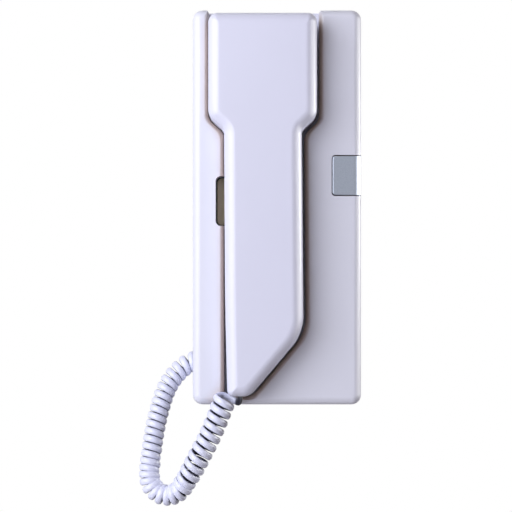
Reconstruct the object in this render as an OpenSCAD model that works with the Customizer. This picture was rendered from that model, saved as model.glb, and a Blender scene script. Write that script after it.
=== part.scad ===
// Audio intercom: a wall base, a handset lying in its channel, and the curly cord between them.
// Millimetres. +X is to the right, +Z is up, the wall is the plane y = 0 and the front faces -Y.
// The origin is the middle of the back of the wall plate.

/* [Base] */
// Width of the wall base
base_w = 94; // [90:1:110]
// Height of the wall base
base_h = 220; // [216:1:240]
// Depth of the wall base, from the wall to the front of its rails
base_d = 30; // [30:0.5:34]
// Corner radius of the base outline
base_corner_r = 5.5; // [4:0.5:8]
// Rounding of the front edge of the base
base_edge_r = 4.5; // [3:0.5:5]
// Wall thickness of the base housing
base_wall = 2.4; // [2:0.1:2.8]
// Gap between the wall and the rim of the housing
rim_gap = 0.3; // [0.2:0.1:1]

/* [Channel] */
// Depth of the handset channel below the front of the rails
channel_d = 14; // [12:0.5:14]
// Gap between the handset and the left wall of the channel
channel_gap_left = 0.6; // [0.5:0.1:1.2]
// Gap between the handset and the right wall of the channel
channel_gap_right = 1.8; // [1:0.1:3]
// Gap between the handset and the lower wall of the channel
channel_gap_bottom = 1.4; // [0.8:0.1:2]
// Rounding of the rim of the channel
channel_rim_r = 2; // [1:0.25:2.5]

/* [Handset outline] */
// Middle of the ear end, from the middle of the base
handset_x = -8.3; // [-10:0.1:-6]
// Top of the handset below the top of the base
handset_drop = 4; // [2:0.5:8]
// Length of the handset
handset_h = 210; // [206:1:211]
// Width of the ear end
ear_w = 60; // [56:1:62]
// Length of the ear end down to its lower corners
ear_h = 56.6; // [54:0.2:62]
// Height of the sloped neck between ear end and grip
neck_h = 7.9; // [6:0.1:10]
// Width of the grip
grip_w = 42.6; // [40:0.2:46]
// Middle of the grip to the right of the middle of the ear end
grip_shift = 0.4; // [-1:0.1:1]
// How far the left edge of the grip leans in at the foot
grip_taper = 1.8; // [0:0.1:2.4]
// Height of the slanted heel above the foot
heel_h = 33.7; // [30:0.1:36]
// Width of the flat foot
foot_w = 12.4; // [12:0.1:14]
// Corner radius at the top
handset_top_r = 5.2; // [4:0.1:8]
// Corner radius under the ear end
ear_corner_r = 7.7; // [6:0.1:8]
// Radius of the hollow corner above the grip
neck_corner_r = 4.9; // [4.5:0.1:6]
// Corner radius above the heel
heel_corner_r = 23.5; // [12:0.5:28]
// Corner radius at the right of the foot
foot_right_r = 7.7; // [4:0.1:8]
// Corner radius at the left of the foot
foot_left_r = 3.3; // [2:0.1:4]

/* [Handset section] */
// Thickness of the handset
handset_d = 31.7; // [30:0.1:34]
// Depth of the rear shell, from the back to the parting line
rear_shell_d = 11.7; // [11:0.1:13]
// Rounding of the front edge
handset_edge_r = 6.5; // [4:0.25:7]
// Rounding of the rear edge
handset_rear_r = 2.5; // [1:0.25:3]
// Wall thickness of both shells
handset_wall = 2.2; // [1.8:0.1:2.4]
// Depth of the finger arch in the back of the grip
arch_d = 4; // [3:0.25:5]
// Length of the finger arch
arch_len = 110; // [100:1:112]
// Middle of the finger arch below the middle of the grip
arch_drop = 1.6; // [0:0.2:3]
// Gap between the handset and the channel floor
rest_gap = 0.3; // [0.25:0.05:0.6]

/* [Ear and mouth] */
// Middle of the earpiece below the top of the handset
ear_drop = 31; // [30:0.5:33]
// Radius of the ear dish
ear_dish_r = 21; // [18:0.5:22]
// Depth of the ear dish
ear_dish_d = 2; // [1:0.25:2.5]
// Radius of the earpiece speaker
speaker_r = 18; // [16:0.5:19]
// Depth of the earpiece speaker
speaker_d = 7; // [5:0.5:9]
// Thickness of the foam gasket under the speaker
gasket_t = 1; // [0.6:0.1:1.5]
// Width of the ring of the foam gasket
gasket_ring_w = 4; // [3:0.5:6]
// Radius of the sound holes
sound_hole_r = 1; // [0.8:0.1:1.2]
// Middle of the microphone right of the left edge of the foot
mic_inset = 14.9; // [14:0.1:16]
// Middle of the microphone above the foot
mic_rise = 22; // [20:0.5:24]
// Radius of the microphone capsule
mic_r = 5; // [4:0.25:5.5]
// Depth of the microphone capsule
mic_d = 5; // [4:0.5:7]
// Wall of the rubber boot round the microphone
mic_boot_wall = 1.6; // [1.2:0.1:2]

/* [Hanging nub] */
// Width of the nub that the handset hangs on
nub_w = 10; // [8:0.5:14]
// Height of the nub
nub_h = 4; // [3:0.5:5]
// Reach of the nub in front of the channel floor
nub_reach = 3; // [2.5:0.25:4]
// Top of the nub below the lower corners of the ear end
nub_drop = 1.4; // [0.8:0.1:2]

/* [Door button] */
// Width of the button on the front of the base
button_w = 16.2; // [14:0.2:18]
// Height of the button
button_h = 23.4; // [20:0.2:28]
// Middle of the button above the middle of the base
button_z = 17.4; // [14:0.2:20]
// Depth of the button cap
button_d = 7.2; // [6:0.1:8]
// Corner radius of the button
button_corner_r = 1.6; // [0.8:0.1:2.4]
// Gap round the button
button_gap = 0.5; // [0.4:0.05:0.8]
// Travel of the button
button_travel = 1; // [0.5:0.1:1.5]
// Radius of the button stem
stem_r = 1.7; // [1.4:0.1:2]

/* [Hook paddle] */
// Width of the paddle
paddle_w = 13.6; // [12.6:0.2:14]
// Height of the paddle
paddle_h = 26.6; // [25:0.2:28]
// Thickness of the paddle
paddle_t = 2.6; // [2:0.1:3]
// Corner radius of the paddle
paddle_corner_r = 2.4; // [1:0.1:3]
// Top of the paddle above the middle of the base
paddle_top = 16.8; // [16:0.2:20]
// Width of the paddle that shows beside the grip
paddle_show = 4.4; // [3.6:0.1:5]
// Gap round the paddle
paddle_gap = 0.8; // [0.6:0.1:1]
// Radius of the hinge pin
hook_pin_r = 1; // [0.8:0.1:1.2]
// Wall of the paddle knuckle round its pin
knuckle_wall = 1; // [0.8:0.1:1.2]

/* [Board] */
// Gap between the circuit board and the side walls of the housing
board_margin = 2; // [1.6:0.1:2.6]
// Height of the circuit board
board_h = 86; // [82:1:92]
// Thickness of the circuit board
board_t = 1.6; // [1:0.1:2]
// Middle of the circuit board above the middle of the base
board_z = 3; // [1:0.5:5]
// Height of the posts under the circuit board
post_h = 2.6; // [2.2:0.1:3]
// Inset of the posts from the edges of the board
post_inset = 5; // [4:0.5:7]
// Radius of the call buzzer
buzzer_r = 11; // [9:0.5:12]
// Number of terminals
terminal_count = 5; // [3:1:6]
// Spacing of the terminals
terminal_pitch = 5; // [4.8:0.1:5.5]

/* [Wall plate] */
// Thickness of the wall plate
plate_t = 2.4; // [2:0.1:2.6]
// Distance between the two wall screws
wall_hole_pitch = 150; // [140:1:160]
// Radius of the wall screw holes
wall_hole_r = 2.25; // [2:0.05:2.75]
// Radius of the cable entry
cable_r = 8; // [6:0.5:9]
// Cable entry below the middle of the base
cable_drop = 58; // [56:1:60]

/* [Cord] */
// Width of the flat cable of the cord
cable_w = 3.85; // [3.6:0.05:3.9]
// Thickness of the flat cable
cable_t = 2.4; // [2.2:0.1:2.5]
// Radius of the curls on the base side, to the middle of the cable
curl_r = 4.6; // [4.4:0.05:4.7]
// Radius of the curls on the handset side
curl_r_far = 5.3; // [5:0.05:5.4]
// How much wider and narrower every other curl is on the inside of the tight bend
bend_step = 1.5; // [1.3:0.05:1.7]

/* [Hidden] */
$fn = 48;

// Shared clearances
slip = 0.3;
snug = 0.05;
past = 1;

// Points on each rounded corner, and rings on each rounded edge
corner_steps = 5;
edge_steps = 5;
inner_edge_steps = 3;
least_r = 0.5;

// Levels in depth, all measured from the wall
plate_y = -plate_t;
rail_y = -base_d;
floor_y = rail_y + channel_d;
floor_back_y = floor_y + base_wall;
back_y = floor_y - rest_gap;
parting_y = back_y - rear_shell_d;
face_y = back_y - handset_d;
board_back_y = plate_y - post_h;
board_y = board_back_y - board_t;

// Levels in height and places across the handset
base_top = base_h / 2;
base_right = base_w / 2;
handset_top = base_top - handset_drop;
ear_z = handset_top - ear_h;
neck_z = ear_z - neck_h;
foot_z = handset_top - handset_h;
heel_z = foot_z + heel_h;
ear_left = handset_x - ear_w / 2;
ear_right = handset_x + ear_w / 2;
grip_left = handset_x + grip_shift - grip_w / 2;
grip_right = grip_left + grip_w;
foot_left = grip_left + grip_taper;
foot_right = foot_left + foot_w;

// The finger arch is a round cut across the back of the grip
arch_r = (pow(arch_len / 2, 2) + pow(arch_d, 2)) / (2 * arch_d);
arch_z = (neck_z + heel_z) / 2 - arch_drop;

// Earpiece, microphone and handset screws
ear_mid = [handset_x, handset_top - ear_drop];
dish_r = (pow(ear_dish_r, 2) + pow(ear_dish_d, 2)) / (2 * ear_dish_d);
ear_pad_y = back_y - ear_dish_d - handset_wall;
speaker_y = ear_pad_y - gasket_t;
collar_wall = 1.5;
cone_rim_w = 3;
cone_d = 2.6;
magnet_share = 0.55;
sound_rings = [[0, 1], [5.5, 6], [11, 12]];
mic_mid = [foot_left + mic_inset, foot_z + mic_rise];
mic_floor_y = back_y - handset_wall;
mic_sound_rings = [[0, 1], [2.6, 4]];
mic_hole_r = 0.8;
mic_lip_w = 1;
mic_lip_t = 0.8;
shell_screw_r = 1.25;
shell_head_r = 2.6;
shell_head_d = 2;
shell_head_sink = 4;
shell_boss_wall = 1.2;
shell_boss_r = shell_head_r + slip + shell_boss_wall;
shell_screw_len = 16;
shell_screw_drop = 6.6;
shell_screw_in = 25.4;
shell_screw_up = 4.3;
shell_screws = [[handset_x, handset_top - shell_screw_drop],
    [foot_left + shell_screw_in, heel_z + shell_screw_up]];

// Nub on the channel floor
nub_top = ear_z - nub_drop;
nub_slot_room = nub_reach + past;
nub_side_gap = 0.6;

// Door button
button_left = base_right - button_w;
button_back_y = rail_y + button_d;
well_y = button_back_y + button_travel + slip;
well_wall = 2;
button_mid_x = base_right - button_w / 2;
switch_w = 6;
switch_d = 4;
door_switch_y = board_y - switch_d;
plunger_reach = 2.9;
door_plunger_y = door_switch_y - plunger_reach;
plunger_room = 0.5;

// Hook paddle
paddle_left = grip_left - paddle_show;
paddle_right = paddle_left + paddle_w;
paddle_y = floor_y;
paddle_back_y = paddle_y + paddle_t;
paddle_bottom = paddle_top - paddle_h;
knuckle_r = hook_pin_r + knuckle_wall;
knuckle_back = 0.8;
hook_pin_x = paddle_left + knuckle_r;
hook_pin_y = paddle_back_y + knuckle_back;
lug_wall = 1.2;
lug_h = base_wall - 2 * slip;
nose_inset = 4.6;
nose_x = paddle_right - nose_inset;
nose_h = 12;
nose_rise = 3.8;
nose_low = paddle_bottom + nose_rise;
nose_high = nose_low + nose_h;
nose_gap = 0.35;
nose_arch_off = max(abs(nose_low - arch_z), abs(nose_high - arch_z));
nose_back_y = back_y - arch_d + pow(nose_arch_off, 2) / (2 * arch_r);
nose_r = paddle_y - nose_back_y - nose_gap;
hook_switch_x = nose_x;
hook_switch_z = (nose_low + nose_high) / 2;
hook_switch_w = 8;
hook_switch_h = 10;
hook_switch_d = 5;
hook_switch_y = board_y - hook_switch_d;
hook_plunger_y = paddle_back_y + slip;
hook_plunger_r = 1.6;
hook_plunger_in = 2.6;

// Parts on the circuit board
board_w = base_w - 2 * (base_wall + board_margin);
post_x = board_w / 2 - post_inset;
post_z = board_h / 2 - post_inset;
post_r = 3;
board_screw_r = 1;
board_head_r = 2.2;
board_head_d = 1.5;
terminal_h = 9;
terminal_d = 6.4;
terminal_up = 6;
terminal_z = board_z - board_h / 2 + terminal_up;
terminal_rim = 0.5;
terminal_w = terminal_count * terminal_pitch + 2 * terminal_rim;
terminal_screw_r = 1.8;
terminal_screw_h = 1.8;
terminal_slot_w = 0.6;
terminal_slot_d = 0.8;
terminal_well_d = 2.4;
terminal_wire_r = 1.3;
terminal_floor = 0.8;
buzzer_mid = [0, 28];
buzzer_d = 6.2;
buzzer_hole_r = 1.5;
sound_slot_count = 5;
sound_slot_w = 2;
sound_slot_h = 13;
sound_slot_pitch = 4;

// Wall plate
plate_w = base_w - 2 * (base_wall + slip);
plate_h = base_h - 2 * (base_wall + slip);
plate_rib_w = 1.6;
plate_rib_h = post_h - slip;
tab_w = 12;
tab_x = 24;
tab_t = 1.8;
tab_reach = 1.2;
boss_w = 9;
boss_h = 8;
boss_d = 8;
housing_screw_y = plate_y - boss_d / 2;
housing_screw_r = 1.45;
housing_head_r = 2.8;
housing_head_h = 1.2;
housing_screw_len = 8;

// Sockets and plugs of the cord
plug_w = 7.7;
plug_h = 6.6;
plug_len = 10;
plug_out = 1.5;
latch_w = 3.2;
latch_t = 1;
latch_start = 1.5;
latch_end = 2.5;
contact_count = 4;
contact_pitch = 1.1;
contact_w = 0.5;
contact_d = 0.6;
contact_len = 3;
jack_w = 12;
jack_len = 12;
jack_h = 10.2;
base_plug_in = 6;
base_plug_up = 23.5;
base_plug_x = -base_right + base_plug_in;
base_plug_y = (plate_y + floor_back_y) / 2;
base_plug_z = -base_top + base_plug_up;
cord_notch_r = 8.5;
cord_notch_back = 1;
cord_notch_y = base_plug_y + cord_notch_back;
handset_plug_in = 6.9;
handset_plug_front = 9;
handset_plug_x = foot_left + handset_plug_in;
handset_plug_y = parting_y - handset_plug_front;
handset_plug_z = foot_z + plug_out;
handset_jack_w = 9;

// Axis of the curls, from the base plug to the left of the foot: X, Y, Z of points chosen by hand
curl_axis = [
    [-45, -8, -86.5], [-49.5, -8.5, -88], [-54.5, -10, -91.5], [-59, -12, -96.5], [-62.5, -14, -102.5],
    [-65, -16, -109.5], [-67, -18, -117], [-68.6, -20, -125], [-69.8, -22, -133], [-70.8, -24, -141],
    [-71.3, -26, -148.5], [-70.4, -27.5, -153.7], [-67.4, -29, -157.7], [-62.8, -30.5, -159.8],
    [-57.8, -32, -159.3], [-53.8, -33.5, -156.6], [-51.2, -34.5, -152.6], [-48.5, -36, -148],
    [-45.5, -37, -142.5], [-42.3, -38, -136.4], [-38.8, -38, -129.6], [-35.4, -38, -122.4],
    [-32.2, -38, -114.6], [-29, -38, -106.5]];
// Straight run of the wire out of the base plug
cord_head = [[-41, -8, -86.5], [-43, -8, -86.5]];
// Run of the wire from the last curl into the handset plug
cord_tail = [[-31, -33.9, -103.9], [-28.2, -32.8, -104.9], [-25.2, -33, -106.2], [-22.8, -34.2, -107.4],
    [-21.2, -35.8, -107.6], [-20.5, -37, -105.8], [-20.5, -37, -102.5]];
// Direction of the cable's width in the base plug
cord_head_wide = [0, -1, 1];
// Curl pitch along the axis: distance from its start, and pitch
curl_pitch = [[0, 4.7], [10, 4.5], [20, 4.15], [60, 4.15], [70, 3.5], [98, 3.5], [108, 4.75], [152, 4.8]];
// Share of the full curl radius, of the wider curls and of the stepped curls, along the axis
curl_swell = [[0, 0], [0.6, 0.35], [2.4, 1]];
curl_widen = [[96, 0], [116, 1]];
bend_share = [[56, 0], [66, 1], [101, 1], [110, 0]];
curl_rings = 8;
cord_sides = 8;

// Vectors and curves

function unit(v) = v / norm(v);
function left_of(v) = [-v[1], v[0]];
function turned(v, a) = [v[0] * cos(a) - v[1] * sin(a), v[0] * sin(a) + v[1] * cos(a)];
function flat(p) = [p[0], p[1]];

// Corner k of an outline with each edge moved inwards: shifts[k] belongs to the edge from corner k to k + 1
function moved_corner(corners, shifts, k) =
    let (count = len(corners),
        before = (k + count - 1) % count,
        into = left_of(unit(flat(corners[k]) - flat(corners[before]))),
        out = left_of(unit(flat(corners[(k + 1) % count]) - flat(corners[k]))),
        a = shifts[before],
        b = shifts[k],
        size = into[0] * out[1] - into[1] * out[0])
    flat(corners[k]) + [a * out[1] - b * into[1], b * into[0] - a * out[0]] / size;

// Closed outline through corners [x, z, radius], counter-clockwise from the front, edges moved inwards
function outline(corners, shifts) =
    let (count = len(corners),
        moved = [for (k = [0 : count - 1]) moved_corner(corners, shifts, k)])
    [for (k = [0 : count - 1])
        let (before = (k + count - 1) % count,
            u = unit(moved[k] - moved[before]),
            v = unit(moved[(k + 1) % count] - moved[k]),
            bend = atan2(u[0] * v[1] - u[1] * v[0], u * v),
            side = sign(bend),
            shift = (shifts[before] + shifts[k]) / 2,
            r = max(corners[k][2] - side * shift, least_r),
            start = moved[k] - u * r * tan(abs(bend) / 2),
            middle = start + left_of(u) * r * side)
        for (i = [0 : corner_steps]) middle + turned(start - middle, bend * i / corner_steps)];

function even(corners, shift) = [for (c = corners) shift];
function inset(corners, shift) = outline(corners, even(corners, shift));
function ring(points, y) = [for (p = points) [p[0], y, p[1]]];

// Rings of a rounded front edge of radius r that ends at y, on an outline already moved in by shift
function front_edge(corners, shift, r, y, steps = edge_steps) =
    [for (i = [0 : steps])
        let (a = 90 * i / steps)
        ring(inset(corners, shift + r * (1 - cos(a))), y + r * (1 - sin(a)))];

// Rings of a rounded rear edge of radius r that starts at y
function rear_edge(corners, shift, r, y, steps = edge_steps) =
    [for (i = [steps : -1 : 0])
        let (a = 90 * i / steps)
        ring(inset(corners, shift + r * (1 - cos(a))), y - r * (1 - sin(a)))];

// Smooth curve through a list of points, at position t counted in points
function spline(points, t) =
    let (last = len(points) - 1,
        k = min(floor(t), last - 1),
        f = t - k,
        a = points[max(k - 1, 0)],
        b = points[k],
        c = points[k + 1],
        d = points[min(k + 2, last)])
    (2 * b + (c - a) * f + (2 * a - 5 * b + 4 * c - d) * f * f + (3 * b - a - 3 * c + d) * f * f * f) / 2;

// Solids from outlines

// Solid skin over flat rings of points that run from the rear to the front, cut off flat at both ends
module loft(rings) {
    first = rings[0];
    final = rings[len(rings) - 1];
    run = concat([[for (p = first) p + [0, past, 0]]], rings, [[for (p = final) p - [0, past, 0]]]);
    m = len(first);
    last = len(run) - 1;
    far = base_h;
    intersection() {
        polyhedron(
            points = [for (r = run) for (p = r) p],
            faces = concat(
                [[for (i = [0 : m - 1]) i], [for (i = [m - 1 : -1 : 0]) last * m + i]],
                [for (j = [0 : last - 1]) for (i = [0 : m - 1])
                    let (k = (i + 1) % m)
                    each [[j * m + i, (j + 1) * m + i, (j + 1) * m + k],
                        [j * m + i, (j + 1) * m + k, j * m + k]]]));
        box([-far, final[0][1], -far], [far, first[0][1], far]);
    }
}

// Flat slab of an outline between two depths
module slab(points, y_rear, y_front) {
    translate([0, y_rear, 0])
        rotate([90, 0, 0])
            linear_extrude(y_rear - y_front)
                polygon(points);
}

module box(low, high) {
    translate(low) cube(high - low);
}

// Slab with rounded corners between two corners [x, z]
module rounded_slab(low, high, r, y_rear, y_front) {
    middle = (low + high) / 2;
    translate([middle[0], 0, middle[1]])
        slab(inset(rectangle(high[0] - low[0], high[1] - low[1], r), 0), y_rear, y_front);
}

module rod_x(x_low, x_high, y, z, r) {
    translate([x_low, y, z]) rotate([0, 90, 0]) cylinder(h = x_high - x_low, r = r);
}

module rod_y(x, z, y_rear, y_front, r) {
    translate([x, y_rear, z]) rotate([90, 0, 0]) cylinder(h = y_rear - y_front, r = r);
}

module rod_z(x, y, z_low, z_high, r) {
    translate([x, y, z_low]) cylinder(h = z_high - z_low, r = r);
}

// Cross-head screw along Z, its head above the origin and its shank below
module screw(head_r, head_d, shank_r, shank_len) {
    slot_len = 1.4 * head_r;
    slot_w = 0.3 * head_r;
    difference() {
        union() {
            cylinder(h = head_d, r = head_r);
            translate([0, 0, -shank_len]) cylinder(h = shank_len, r = shank_r);
        }
        for (a = [0, 90])
            rotate([0, 0, a])
                translate([-slot_len / 2, -slot_w / 2, head_d / 2]) cube([slot_len, slot_w, head_d]);
    }
}

// Small holes on rings [radius, count] round a middle point
module hole_rings(middle, rings, r, y_rear, y_front) {
    for (ring = rings)
        for (i = [1 : ring[1]])
            let (a = 360 * i / ring[1])
            rod_y(middle[0] + ring[0] * cos(a), middle[1] + ring[0] * sin(a), y_rear, y_front, r);
}

// Outlines

function rectangle(w, h, r) =
    [for (c = [[-1, -1], [1, -1], [1, 1], [-1, 1]]) [c[0] * w / 2, c[1] * h / 2, r]];
base_corners = rectangle(base_w, base_h, base_corner_r);
plate_corners = rectangle(plate_w, plate_h, max(base_corner_r - base_wall - slip, least_r));

// Handset outline from the front, from its left foot corner; lean is how far the left edge leans in there
function handset_corners(lean) = [
    [grip_left + lean, foot_z, foot_left_r], [foot_right, foot_z, foot_right_r],
    [grip_right, heel_z, heel_corner_r], [grip_right, neck_z, neck_corner_r],
    [ear_right, ear_z, ear_corner_r], [ear_right, handset_top, handset_top_r],
    [ear_left, handset_top, handset_top_r], [ear_left, ear_z, ear_corner_r],
    [grip_left, neck_z, neck_corner_r]];
shell_corners = handset_corners(grip_taper);
channel_corners = handset_corners(0);

// Channel walls: gaps from the handset edge by edge, wider by grow, and open past the top of the base
function channel_outline(grow) =
    let (right = -channel_gap_right - grow, left = -channel_gap_left - grow)
    outline(channel_corners, [-channel_gap_bottom - grow, right, right, right, right,
        -handset_drop - base_corner_r - grow, left, left, left]);

// Base

module base_block() {
    loft(concat([ring(inset(base_corners, 0), -rim_gap)],
        front_edge(base_corners, 0, base_edge_r, rail_y)));
}

module channel_cut() {
    loft(concat([ring(channel_outline(0), floor_y)],
        [for (i = [0 : edge_steps])
            let (a = 90 * i / edge_steps)
            ring(channel_outline(channel_rim_r * (1 - cos(a))), rail_y + channel_rim_r * (1 - sin(a)))],
        [ring(channel_outline(channel_rim_r), rail_y - past)]));
}

module button_well(grow) {
    reach = button_gap + grow;
    rounded_slab([button_left - reach, button_z - button_h / 2 - reach],
        [base_right + 2 * button_corner_r + past, button_z + button_h / 2 + reach],
        button_corner_r + button_gap, well_y + grow, rail_y - past);
}

// Room for the paddle: a window in the channel floor and a notch in the left rail
module paddle_room() {
    low = [paddle_left - paddle_gap, paddle_bottom - paddle_gap];
    high = [paddle_right + paddle_gap, paddle_top + paddle_gap];
    r = paddle_corner_r + paddle_gap;
    rounded_slab(low, [grip_left + r, high[1]], r, floor_back_y + past, rail_y - past);
    rounded_slab([grip_left, low[1]], high, r, floor_back_y + past, floor_y - past);
}

// Two ears behind the channel floor that hold the ends of the paddle's pin
module paddle_lugs() {
    reach = hook_pin_r + lug_wall;
    for (z = [paddle_bottom - paddle_gap - slip - lug_h, paddle_top + paddle_gap + slip])
        difference() {
            box([hook_pin_x - reach, floor_back_y - base_wall / 2, z],
                [hook_pin_x + reach, hook_pin_y + reach, z + lug_h]);
            rod_z(hook_pin_x, hook_pin_y, z - past, z + lug_h + past, hook_pin_r + snug);
        }
}

module nub() {
    box([handset_x - nub_w / 2, floor_y - nub_reach, nub_top - nub_h],
        [handset_x + nub_w / 2, floor_y + base_wall / 2, nub_top]);
}

module base_housing() {
    notch_reach = paddle_gap + base_wall;
    color("#dfe1f0") {
        difference() {
            base_block();
            difference() {
                slab(inset(base_corners, base_wall), past, rail_y + base_wall);
                slab(channel_outline(base_wall), floor_back_y, rail_y);
                intersection() {
                    button_well(well_wall);
                    slab(inset(base_corners, 0), 0, rail_y);
                }
                box([paddle_left - notch_reach, rail_y, paddle_bottom - notch_reach],
                    [grip_left, floor_back_y, paddle_top + notch_reach]);
            }
            channel_cut();
            button_well(0);
            rod_y(button_mid_x, button_z, well_y + well_wall + past, well_y - past, stem_r + slip);
            paddle_room();
            for (i = [0 : sound_slot_count - 1])
                let (x = buzzer_mid[0] + (i - (sound_slot_count - 1) / 2) * sound_slot_pitch)
                box([x - sound_slot_w / 2, floor_y - past, buzzer_mid[1] - sound_slot_h / 2],
                    [x + sound_slot_w / 2, floor_back_y + past, buzzer_mid[1] + sound_slot_h / 2]);
            rod_x(-base_right - past, -base_right + base_wall + past, cord_notch_y, base_plug_z,
                cord_notch_r);
            box([-base_right - past, cord_notch_y, base_plug_z - cord_notch_r],
                [-base_right + base_wall + past, past, base_plug_z + cord_notch_r]);
            for (side = [-1, 1])
                box([side * tab_x - tab_w / 2 - slip, plate_y - tab_t - slip, base_top - base_wall - past],
                    [side * tab_x + tab_w / 2 + slip, plate_y + slip, base_top - base_wall + tab_reach]);
            rod_z(0, housing_screw_y, -base_top - past, -base_top + base_wall + past, housing_screw_r + slip);
            rod_z(0, housing_screw_y, -base_top - past, -base_top + housing_head_h, housing_head_r + slip);
        }
        nub();
        paddle_lugs();
    }
}

module wall_plate() {
    rib_y = plate_y - plate_rib_h;
    boss_low = -base_top + base_wall + slip;
    color("#d6d7e2") difference() {
        union() {
            slab(inset(plate_corners, 0), 0, plate_y);
            difference() {
                slab(inset(plate_corners, 0), plate_y, rib_y);
                slab(inset(plate_corners, plate_rib_w), plate_y + past, rib_y - past);
                box([-base_right, rib_y - past, base_plug_z - cord_notch_r],
                    [0, plate_y, base_plug_z + cord_notch_r]);
            }
            for (x = [-post_x, post_x])
                for (z = [board_z - post_z, board_z + post_z])
                    rod_y(x, z, plate_y, board_back_y, post_r);
            for (side = [-1, 1])
                box([side * tab_x - tab_w / 2, plate_y - tab_t, base_top - base_wall - slip - past],
                    [side * tab_x + tab_w / 2, plate_y, base_top - base_wall + tab_reach - slip]);
            box([-boss_w / 2, plate_y - boss_d, boss_low], [boss_w / 2, plate_y, boss_low + boss_h]);
        }
        for (z = [-wall_hole_pitch / 2, wall_hole_pitch / 2])
            rod_y(0, z, past, rib_y, wall_hole_r);
        rod_y(0, -cable_drop, past, rib_y, cable_r);
        for (x = [-post_x, post_x])
            for (z = [board_z - post_z, board_z + post_z])
                rod_y(x, z, plate_y + plate_t / 2, board_back_y - past, board_screw_r + snug);
        rod_z(0, housing_screw_y, boss_low - past, boss_low + boss_h + past, housing_screw_r + snug);
    }
}

module housing_screw() {
    color("#9a9ca2")
        translate([0, housing_screw_y, -base_top + housing_head_h])
            rotate([180, 0, 0])
                screw(housing_head_r, housing_head_h - slip, housing_screw_r, housing_screw_len);
}

// Circuit board and what is on it

module base_circuit_board() {
    color("#2f6b45") difference() {
        box([-board_w / 2, board_y, board_z - board_h / 2],
            [board_w / 2, board_back_y, board_z + board_h / 2]);
        for (x = [-post_x, post_x])
            for (z = [board_z - post_z, board_z + post_z])
                rod_y(x, z, board_back_y + past, board_y - past, board_screw_r + slip);
    }
}

module pcb_screws() {
    shank_len = plate_y + plate_t / 2 - slip - board_y;
    color("#a9abb0")
        for (x = [-post_x, post_x])
            for (z = [board_z - post_z, board_z + post_z])
                translate([x, board_y, z])
                    rotate([90, 0, 0])
                        screw(board_head_r, board_head_d, board_screw_r, shank_len);
}

function terminal_x(i) = (i - (terminal_count - 1) / 2) * terminal_pitch;

module terminal_block() {
    top_y = board_y - terminal_d;
    color("#3a7d52") difference() {
        box([-terminal_w / 2, top_y, terminal_z - terminal_h / 2],
            [terminal_w / 2, board_y, terminal_z + terminal_h / 2]);
        for (i = [0 : terminal_count - 1]) {
            rod_y(terminal_x(i), terminal_z, top_y + terminal_well_d, top_y - past, terminal_screw_r + snug);
            rod_z(terminal_x(i), board_y - terminal_wire_r - terminal_floor,
                terminal_z - terminal_h / 2 - past, terminal_z, terminal_wire_r);
        }
    }
}

module terminal_screws() {
    low_y = board_y - terminal_d + terminal_well_d;
    top_y = low_y - terminal_screw_h;
    color("#b4b6ba")
        for (i = [0 : terminal_count - 1])
            difference() {
                rod_y(terminal_x(i), terminal_z, low_y, top_y, terminal_screw_r);
                translate([terminal_x(i), 0, terminal_z])
                    box([-terminal_slot_w / 2, top_y - past, -terminal_screw_r],
                        [terminal_slot_w / 2, top_y + terminal_slot_d, terminal_screw_r]);
            }
}

module call_buzzer() {
    color("#26262a") difference() {
        rod_y(buzzer_mid[0], buzzer_mid[1], board_y, board_y - buzzer_d, buzzer_r);
        rod_y(buzzer_mid[0], buzzer_mid[1], board_y - buzzer_d / 2, board_y - buzzer_d - past, buzzer_hole_r);
    }
}

// Door button

module door_button() {
    color("#9aa0ac") {
        intersection() {
            base_block();
            rounded_slab([button_left, button_z - button_h / 2],
                [base_right + 2 * button_corner_r, button_z + button_h / 2],
                button_corner_r, button_back_y, rail_y - past);
        }
        rod_y(button_mid_x, button_z, door_plunger_y, button_back_y - past, stem_r);
    }
}

module door_switch() {
    color("#202226") difference() {
        box([button_mid_x - switch_w / 2, door_switch_y, button_z - switch_w / 2],
            [button_mid_x + switch_w / 2, board_y, button_z + switch_w / 2]);
        rod_y(button_mid_x, button_z, board_y - plunger_room, door_switch_y - past, stem_r + snug);
    }
}

module door_switch_plunger() {
    color("#e8e8ec")
        rod_y(button_mid_x, button_z, board_y - plunger_room - button_travel - slip, door_plunger_y, stem_r);
}

// Hook paddle and its switch

module hook_paddle() {
    color("#78736a") difference() {
        union() {
            rounded_slab([paddle_left, paddle_bottom], [paddle_right, paddle_top], paddle_corner_r,
                paddle_back_y, paddle_y);
            rod_z(hook_pin_x, hook_pin_y, paddle_bottom + paddle_corner_r, paddle_top - paddle_corner_r,
                knuckle_r);
            intersection() {
                rod_z(nose_x, paddle_y, nose_low, nose_high, nose_r);
                box([nose_x - nose_r - past, paddle_y - nose_r - past, nose_low - past],
                    [nose_x + nose_r + past, paddle_y + paddle_t / 2, nose_high + past]);
            }
        }
        rod_z(hook_pin_x, hook_pin_y, paddle_bottom - past, paddle_top + past, hook_pin_r + snug);
    }
}

module hook_pin() {
    color("#b4b6ba")
        rod_z(hook_pin_x, hook_pin_y, paddle_bottom - paddle_gap - lug_h, paddle_top + paddle_gap + lug_h,
            hook_pin_r);
}

module hook_switch() {
    color("#202226") difference() {
        box([hook_switch_x - hook_switch_w / 2, hook_switch_y, hook_switch_z - hook_switch_h / 2],
            [hook_switch_x + hook_switch_w / 2, board_y, hook_switch_z + hook_switch_h / 2]);
        rod_y(hook_switch_x, hook_switch_z, hook_switch_y + hook_plunger_in + slip, hook_switch_y - past,
            hook_plunger_r + snug);
    }
}

module hook_switch_plunger() {
    color("#c8452e")
        rod_y(hook_switch_x, hook_switch_z, hook_switch_y + hook_plunger_in, hook_plunger_y, hook_plunger_r);
}

// Cord sockets and plugs

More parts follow.
